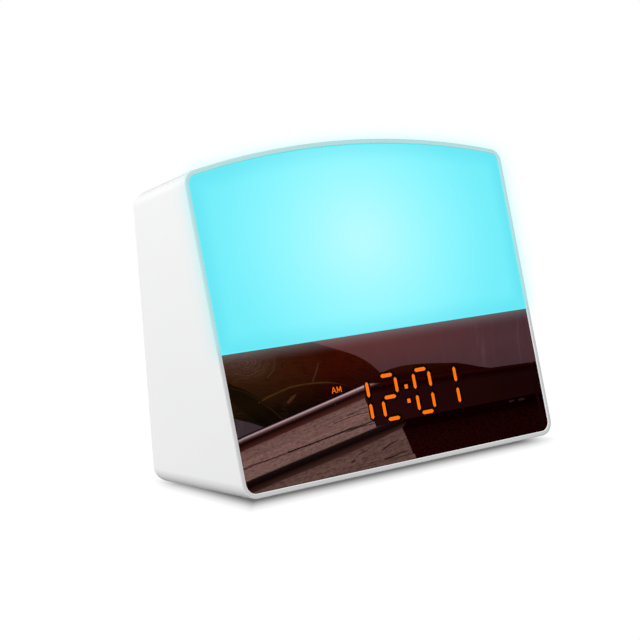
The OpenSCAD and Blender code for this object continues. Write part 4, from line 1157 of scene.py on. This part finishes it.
def wall_card():
    sh = Shade("far_wall")
    x, y = sh.dot(sh.pos, (1, 0, 0)), sh.dot(sh.pos, (0, -1, 0))
    base = sh.ramp(sh.math("DIVIDE", sh.math("ADD", x, sh.math("MULTIPLY", sh.math("SUBTRACT", sh.noise(5.0, 2.0), 0.5), 0.2)), 1.5), [
        (0.0, seen(55, 45, 50)), (0.2, seen(60, 45, 50)), (0.35, seen(95, 50, 50)), (1.0, seen(70, 45, 50))], "EASE")
    low = sh.span(y, 0.20, 0.32, 0.0, 1.0)
    base = sh.mix(sh.math("MULTIPLY", low, 0.5), base, seen(50, 38, 43))
    v = sh.add("ShaderNodeMapping", Vector=sh.pos, Rotation=(0, 0, 0.16), Scale=(26.0, 1.6, 1.0)).outputs[0]
    streak = sh.span(sh.noise(1.0, 3.0, 0.6, vector=v), 0.60, 0.78, 0.0, 1.0)
    base = sh.mix(sh.math("MULTIPLY", streak, 0.10), base, seen(150, 130, 140))
    base = sh.mix(sh.span(sh.noise(160.0, 2.0), 0.3, 0.7, 0.0, 0.10), base, seen(110, 80, 84))
    sh.emission(base)
    return sh.mat


def streak_card(name, tint, power):
    sh = Shade(name)
    sh.emission(sh.mix(sh.noise(30.0, 2.0), tint, tuple(c * power for c in tint)))
    return sh.mat


def leaf_card(name, stops, vein, sheen, scale=9.0, direction=(0.2, -1.0, 0), shine=None):
    """Leathery leaf: slow colour change downwards, fine folds and lighter creases."""
    sh = Shade(name)
    t = sh.span(sh.dot(sh.pos, direction), stops[0][0], stops[-1][0], 0.0, 1.0)
    lo, hi = stops[0][0], stops[-1][0]
    base = sh.ramp(t, [((p - lo) / (hi - lo), c) for p, c in stops], "EASE")
    v = sh.add("ShaderNodeMapping", Vector=sh.pos, Rotation=(0, 0, -0.5), Scale=(1.0, 2.1, 1.0)).outputs[0]
    fold = sh.noise(scale, 3.0, 0.55, vector=v, distortion=1.6)
    crease = sh.math("ABSOLUTE", sh.math("SUBTRACT", fold, 0.5))
    line = sh.span(crease, 0.0, 0.014, 1.0, 0.0, "SMOOTHSTEP")
    patch = sh.span(sh.noise(4.0, 2.0), 0.42, 0.62, 0.0, 1.0)
    base = sh.mix(sh.math("MULTIPLY", sh.math("MULTIPLY", line, patch), vein), base, sheen)
    red = sh.span(sh.dot(sh.pos, (1, 0, 0)), 0.22, 0.52, 0.0, 1.0)
    base = sh.mix(red, base, sh.mix(1.0, base, (1.05, 0.34, 0.32), "MULTIPLY"))
    if shine:
        spot, reach, tone = shine
        away = sh.add("ShaderNodeVectorMath", {"operation": "SUBTRACT"}, i0=sh.pos, i1=(spot[0] / 1000, -spot[1] / 1000, 0)).outputs[0]
        away = sh.add("ShaderNodeMapping", Vector=away, Rotation=(0, 0, -0.15), Scale=(1.0, 1.7, 0.0)).outputs[0]
        l = sh.add("ShaderNodeVectorMath", {"operation": "LENGTH"}, i0=away).outputs["Value"]
        rings = sh.math("ADD", sh.math("MULTIPLY", l, 52.0), sh.math("MULTIPLY", sh.noise(26.0, 3.0, 0.7), 3.2))
        wrinkle = sh.span(sh.math("ABSOLUTE", sh.math("SUBTRACT", sh.math("FRACT", rings), 0.5)), 0.0, 0.5, 0.25, 1.0, "SMOOTHSTEP")
        base = sh.mix(sh.math("MULTIPLY", sh.span(l, 0.03, reach / 1000, 0.62, 0.0, "SMOOTHSTEP"), wrinkle), base, tone)
    wide = sh.span(fold, 0.35, 0.65, 0.86, 1.14)
    fine = sh.span(sh.noise(110.0, 3.0, 0.7, distortion=0.6), 0.3, 0.7, 0.93, 1.08)
    n = sh.add("ShaderNodeVectorMath", {"operation": "SCALE"}, i0=base)
    sh.nt.links.new(sh.math("MULTIPLY", wide, fine), n.inputs["Scale"])
    sh.emission(n.outputs[0])
    return sh.mat


def pages_card(name, a, b, colors, cracks, depth=0.2, fleck=(50.0, 200.0, 0.27)):
    """Block of pages: fine lines along a to b, darker towards its ends, a few open gaps."""
    sh = Shade(name)
    slope = math.atan2(-(b[1] - a[1]), b[0] - a[0])
    v = sh.add("ShaderNodeMapping", {"vector_type": "TEXTURE"}, Vector=sh.pos, Rotation=(0, 0, slope)).outputs[0]
    vs = sh.add("ShaderNodeMapping", Vector=v, Scale=(3.0, 130.0, 1.0)).outputs[0]
    lines = sh.noise(1.0, 3.0, 0.65, vector=vs)
    vs2 = sh.add("ShaderNodeMapping", Vector=v, Scale=(fleck[0], fleck[1], 1.0)).outputs[0]
    blotch = sh.noise(1.0, 2.0, 0.6, vector=vs2, distortion=0.5)
    t = sh.span(along(sh, a, b), 0.0, depth, 0.0, 1.0)
    base = sh.ramp(t, colors, "EASE")
    f = sh.math("MULTIPLY", sh.span(lines, 0.3, 0.7, 0.76, 1.24), sh.span(blotch, 0.28, 0.58, 1.0 - fleck[2] * 2, 1.0 + fleck[2] * 0.55))
    for (p, q), w, deep in cracks:
        wob = sh.math("MULTIPLY", sh.math("SUBTRACT", sh.noise(14.0, 2.0), 0.5), 0.008)
        d = sh.math("ABSOLUTE", sh.math("ADD", along(sh, p, q), wob))
        f = sh.math("MULTIPLY", f, sh.span(d, w * 0.3, w, 1.0 - deep, 1.0, "SMOOTHSTEP"))
    n = sh.add("ShaderNodeVectorMath", {"operation": "SCALE"}, i0=base)
    sh.nt.links.new(f, n.inputs["Scale"])
    sh.emission(n.outputs[0])
    return sh.mat


def cover_card(name, a, b, stops, depth, grain=0.25, scale=120.0, fade=(0.0, 0.75, 1.0)):
    """Book cloth: colour across the line a to b, grain of the leather on top."""
    sh = Shade(name)
    t = sh.span(along(sh, a, b), 0.0, depth, 0.0, 1.0)
    base = sh.ramp(t, stops, "LINEAR")
    v = sh.add("ShaderNodeMapping", Vector=sh.pos, Rotation=(0, 0, 0.7), Scale=(1.0, 1.8, 1.0)).outputs[0]
    grainy = sh.span(sh.noise(scale, 2.0, 0.6, vector=v), 0.32, 0.68, 1 - grain, 1 + grain)
    x = sh.dot(sh.pos, (1, 0, 0))
    grainy = sh.math("MULTIPLY", grainy, sh.span(x, fade[0], fade[2], fade[1], 1.0))
    n = sh.add("ShaderNodeVectorMath", {"operation": "SCALE"}, i0=base)
    sh.nt.links.new(grainy, n.inputs["Scale"])
    sh.emission(n.outputs[0])
    return sh.mat


flat("far_wall", [(-300, -200), (1900, -200), (1900, 800), (-300, 800)], 1.50, wall_card())
for i, (x0, x1, w) in enumerate(((850, 888, 5), (1012, 1048, 6), (1160, 1185, 3), (1255, 1275, 3), (1372, 1392, 7), (760, 775, 3))):
    mid = ((x0 + x1) / 2 - 6, 190)
    flat(f"wall_scratch_{i + 1}", [(x0, 70), (x0 + w * 0.8, 70), (mid[0] + w, mid[1]), (x1 + w * 0.5, 300), (x1, 300), mid], 1.497, streak_card(f"scratch_{i + 1}", seen(84, 56, 62), 0.85))
flat("second_leaf", [(735, 345), (765, 328), (800, 312), (850, 299), (900, 292), (950, 288), (1020, 286), (1100, 285), (1150, 292), (1200, 302), (1255, 308), (1330, 330), (1330, 460), (700, 460)],
     1.47, leaf_card("second_leaf", [(0.44, seen(40, 30, 16)), (0.49, seen(36, 24, 10)), (0.52, seen(29, 12, 5)), (0.58, seen(19, 5, 3))], 0.15, seen(50, 30, 16)))
flat("large_leaf", [(-60, 265), (0, 250), (120, 215), (300, 180), (430, 186), (480, 203), (520, 214), (560, 226), (600, 238), (640, 252), (680, 272), (710, 293), (735, 315), (760, 340), (780, 390), (700, 470), (300, 640), (225, 580), (170, 561), (125, 550), (60, 538), (-60, 520)],
     1.45, leaf_card("large_leaf", [(0.20, seen(70, 35, 25)), (0.37, seen(50, 25, 10)), (0.60, seen(15, 10, 5))], 0.28, seen(92, 60, 38), shine=((120, 285), 190, seen(84, 62, 54))))
flat("dark_fold", [(20, 375), (70, 385), (130, 405), (190, 440), (240, 475), (300, 520), (345, 560), (300, 590), (230, 585), (150, 520), (90, 480), (20, 450)],
     1.448, leaf_card("dark_fold", [(0.36, seen(20, 12, 5)), (0.5, seen(22, 12, 4)), (0.6, seen(12, 6, 2))], 0.3, seen(44, 32, 16)))
vein = [(196, 468), (235, 440), (290, 415), (340, 393), (400, 380), (460, 373), (510, 371), (560, 378), (600, 388)]
flat("vein", vein + [(x + 3, y + (7 if 200 < x < 560 else 2)) for x, y in vein[::-1]], 1.446, streak_card("vein", seen(72, 47, 21), 0.5))
flat("vein_low", [(60, 395), (130, 412), (195, 446), (250, 486), (320, 545), (314, 549), (245, 494), (190, 454), (128, 420), (60, 402)], 1.445, streak_card("vein_low", seen(34, 22, 9), 0.6))
for i, pts in enumerate(([(45, 300), (90, 272), (160, 262), (230, 268), (228, 273), (160, 268), (95, 278), (48, 306)], [(180, 350), (215, 325), (232, 290), (236, 250), (242, 250), (240, 292), (221, 329), (184, 355)],
                         [(235, 352), (262, 318), (268, 282), (262, 246), (267, 246), (275, 284), (268, 322), (240, 357)], [(440, 372), (455, 330), (468, 285), (473, 285), (462, 332), (446, 373)], [(325, 468), (345, 440), (372, 424), (360, 446), (336, 472)])):
    flat(f"crease_{i + 1}", pts, 1.444, streak_card(f"crease_{i + 1}", seen(72, 43, 27), 0.6))

# upper book: spine, top board, pages
flat("upper_spine", [(640, 470), (690, 392), (757, 377), (1000, 343), (1250, 308), (1480, 276), (1700, 246), (1700, 420), (1515, 455), (1100, 505), (850, 560), (735, 590)],
     1.42, cover_card("upper_spine", (757, 377), (1480, 276), [(0.0, seen(30, 5, 5)), (0.12, seen(15, 0, 0)), (0.3, seen(25, 5, 5))], 0.155, 0.16, 200.0, (0.78, 1.75, 1.35)))
# painted highlight: a bright pink line along the top board's edge, with a dark line above it
flat("top_board", [(40, 657), (600, 413), (655, 390), (690, 382), (757, 376), (757, 392), (700, 400), (680, 412), (684, 448), (660, 458), (40, 728)],
     1.41, cover_card("top_board", (200, 587), (600, 413), [(0.09, seen(5, 0, 0)), (0.18, seen(200, 170, 175)), (0.28, seen(115, 85, 85)), (0.42, seen(50, 20, 20)), (0.55, seen(15, 5, 5)), (1.0, seen(75, 35, 30))], 0.0623, 0.06, 90.0, (0.1, 0.75, 0.7)))
flat("upper_pages", [(60, 716), (680, 447), (705, 505), (735, 580), (690, 596), (60, 860)],
     1.405, pages_card("upper_pages", (200, 655), (600, 481), [(0.0, seen(98, 70, 64)), (0.08, seen(106, 77, 72)), (0.4, seen(116, 84, 79)), (0.8, seen(112, 82, 77)), (1.0, seen(108, 80, 75))],
                     [(((114, 775), (720, 549)), 0.0045, 0.85), (((100, 842), (720, 598)), 0.003, 0.25), (((100, 740), (690, 492)), 0.003, 0.3)], 0.14))
for i, pts in enumerate(([(330, 690), (440, 650), (560, 604), (640, 572), (640, 575), (560, 609), (440, 656), (332, 693)], [(596, 600), (660, 574), (725, 560), (725, 563), (660, 578), (598, 603)], [(598, 524), (690, 485), (690, 488), (600, 528)], [(540, 560), (640, 522), (700, 506), (700, 509), (640, 525), (542, 563)])):
    flat(f"page_line_{i + 1}", pts, 1.404, streak_card(f"page_line_{i + 1}", seen(*((22, 9, 8) if i < 2 else (58, 36, 32))), 0.7))
# bottom board of the upper book, gap below it, lower book
flat("under_board", [(40, 868), (737, 576), (848, 543), (872, 556), (850, 583), (600, 701), (250, 843), (40, 930)],
     1.402, cover_card("under_board", (250, 780), (600, 633), [(0.0, seen(70, 50, 45)), (0.1, seen(25, 15, 15)), (0.5, seen(15, 5, 5)), (1.0, seen(60, 35, 30))], 0.0575, 0.12, 120.0, (0.0, 0.75, 0.8)))
# painted shadow: the lower spine is near black along its top, under the upper book
flat("lower_spine", [(840, 547), (1000, 515), (1300, 455), (1515, 412), (1700, 375), (1700, 900), (900, 900)],
     1.415, cover_card("lower_spine", (1000, 515), (1300, 455), [(0.0, seen(9, 0, 1)), (0.20, seen(9, 0, 0)), (0.27, seen(16, 1, 1)), (0.55, seen(22, 2, 2)), (1.0, seen(21, 2, 2))], 0.20, 0.75, 75.0, (0.9, 1.35, 1.4)))
flat("lower_pages", [(120, 900), (250, 842), (600, 700), (735, 640), (850, 580), (880, 645), (925, 760), (700, 900), (180, 960)],
     1.40, pages_card("lower_pages", (250, 842), (600, 700), [(0.0, seen(84, 60, 56)), (0.12, seen(92, 66, 61)), (0.5, seen(90, 64, 59)), (1.0, seen(86, 60, 56))],
                     [(((756, 737), (873, 704)), 0.003, 0.35)], 0.16, (40.0, 120.0, 0.26)))
for i, (pts, tone) in enumerate((([(757, 681), (775, 667), (790, 655), (810, 646), (829, 637), (829, 641), (811, 651), (792, 661), (777, 673), (760, 684)], (40, 21, 19)),
                                 ([(768, 723), (790, 714), (815, 706), (847, 690), (881, 682), (881, 685), (848, 695), (816, 712), (792, 721), (770, 727)], (44, 24, 22)),
                                 ([(650, 700), (672, 690), (696, 682), (696, 685), (673, 695), (652, 704)], (58, 36, 33)), ([(618, 738), (634, 726), (640, 727), (630, 738), (620, 742)], (48, 28, 26)))):
    flat(f"open_page_{i + 1}", pts, 1.3985, streak_card(f"open_page_{i + 1}", seen(*tone), 0.75))
for i, (x, y, w) in enumerate(((1335, 458, 22), (1378, 450, 26))):
    flat(f"glint_{i + 1}", [(x, y), (x + w, y - 6), (x + w + 3, y + 2), (x + 4, y + 8)], 1.399, streak_card(f"glint_{i + 1}", seen(46, 27, 28), 0.6))

# ------------------------------------------------------------------ lights
world = bpy.data.worlds.new("studio")
bpy.context.scene.world = world
world.use_nodes = True
wn = world.node_tree
wn.nodes.clear()
w_out = wn.nodes.new("ShaderNodeOutputWorld")
w_bg = wn.nodes.new("ShaderNodeBackground")
w_tc = wn.nodes.new("ShaderNodeTexCoord")
w_sep = wn.nodes.new("ShaderNodeSeparateXYZ")
wn.links.new(w_tc.outputs["Generated"], w_sep.inputs[0])


def w_math(op, a, b=0.0, c=0.0):
    n = wn.nodes.new("ShaderNodeMath")
    n.operation = op
    for socket, v in zip(n.inputs, (a, b, c)):
        if isinstance(v, bpy.types.NodeSocket):
            wn.links.new(v, socket)
        else:
            socket.default_value = v
    return n.outputs[0]


w_ramp = wn.nodes.new("ShaderNodeMapRange")
w_ramp.interpolation_type = "SMOOTHSTEP"
for key, v in zip(("From Min", "From Max", "To Min", "To Max"), (-0.45, 0.10, 0.28, 1.0)):
    w_ramp.inputs[key].default_value = v
wn.links.new(w_sep.outputs["Z"], w_ramp.inputs["Value"])
lr = w_math("MULTIPLY_ADD", w_sep.outputs["X"], -0.55, 0.86)
fb = w_math("MULTIPLY_ADD", w_sep.outputs["Y"], -0.24, lr)
ud = w_math("MULTIPLY_ADD", w_sep.outputs["Z"], -0.28, fb)
strength = w_math("MULTIPLY", ud, w_ramp.outputs["Result"])
wn.links.new(strength, w_bg.inputs["Strength"])
w_bg.inputs["Color"].default_value = (1, 1, 1, 1)
wn.links.new(w_bg.outputs[0], w_out.inputs["Surface"])


def area(name, place, target, size, power, color=(1, 1, 1), glossy=True):
    light = bpy.data.lights.new(name, "AREA")
    light.shape, light.size, light.energy, light.color = "DISK", size, power, color
    obj = new_object(name, light)
    obj.location = place
    obj.rotation_euler = (Vector(target) - Vector(place)).to_track_quat("-Z", "Y").to_euler()
    obj.visible_camera = False
    obj.visible_glossy = glossy
    return obj


area("key", (-0.50, 0.17, 0.355), (-0.08, 0.0, 0.09), 0.30, 1.14, glossy=False)
# fills the rear and the right side, which the photograph doesn't show
area("rear_fill", (0.52, 0.56, 0.12), (0.0, 0.0, 0.07), 0.50, 4.2, glossy=False)

# ------------------------------------------------------------------ look of the picture
scene = bpy.context.scene
scene.view_settings.view_transform = "Standard"
scene.view_settings.look = "None"

# soft cyan bloom of the lit panel over what lies next to it
bpy.context.view_layer.use_pass_cryptomatte_object = True
scene.use_nodes = True
ct = scene.node_tree
ct.nodes.clear()
layers = ct.nodes.new("CompositorNodeRLayers")
mask = ct.nodes.new("CompositorNodeCryptomatteV2")
mask.source, mask.scene = "RENDER", scene
mask.layer_name = bpy.context.view_layer.name + ".CryptoObject"
mask.matte_id = diffuser.name
MATTE = mask.outputs["Matte"]
blur = ct.nodes.new("CompositorNodeBlur")
blur.filter_type, blur.size_x, blur.size_y = "GAUSS", 24, 24
ct.links.new(MATTE, blur.inputs[0])


def c_math(op, a, b, clamp=False):
    n = ct.nodes.new("CompositorNodeMath")
    n.operation, n.use_clamp = op, clamp
    for socket, v in zip(n.inputs, (a, b)):
        if isinstance(v, bpy.types.NodeSocket):
            ct.links.new(v, socket)
        else:
            socket.default_value = v
    return n.outputs[0]


mirror = ct.nodes.new("CompositorNodeCryptomatteV2")
mirror.source, mirror.scene, mirror.layer_name = "RENDER", scene, mask.layer_name
mirror.matte_id = "mirror_coating,mirror_edge," + lens.name
outside = c_math("SUBTRACT", 1.0, c_math("ADD", MATTE, mirror.outputs["Matte"]), True)
amount = c_math("MULTIPLY", blur.outputs[0], outside)
bloom = ct.nodes.new("CompositorNodeMixRGB")
bloom.blend_type = "MIX"
ct.links.new(c_math("MINIMUM", c_math("MULTIPLY", amount, 0.88, True), 0.28), bloom.inputs[0])
ct.links.new(layers.outputs["Image"], bloom.inputs[1])
bloom.inputs[2].default_value = (0.0, 0.93, 0.965, 1)
final = ct.nodes.new("CompositorNodeComposite")
ct.links.new(bloom.outputs[0], final.inputs[0])

size = {"cad": CAD_BOX, "visual": [[float(c) for c in corner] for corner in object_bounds()]}
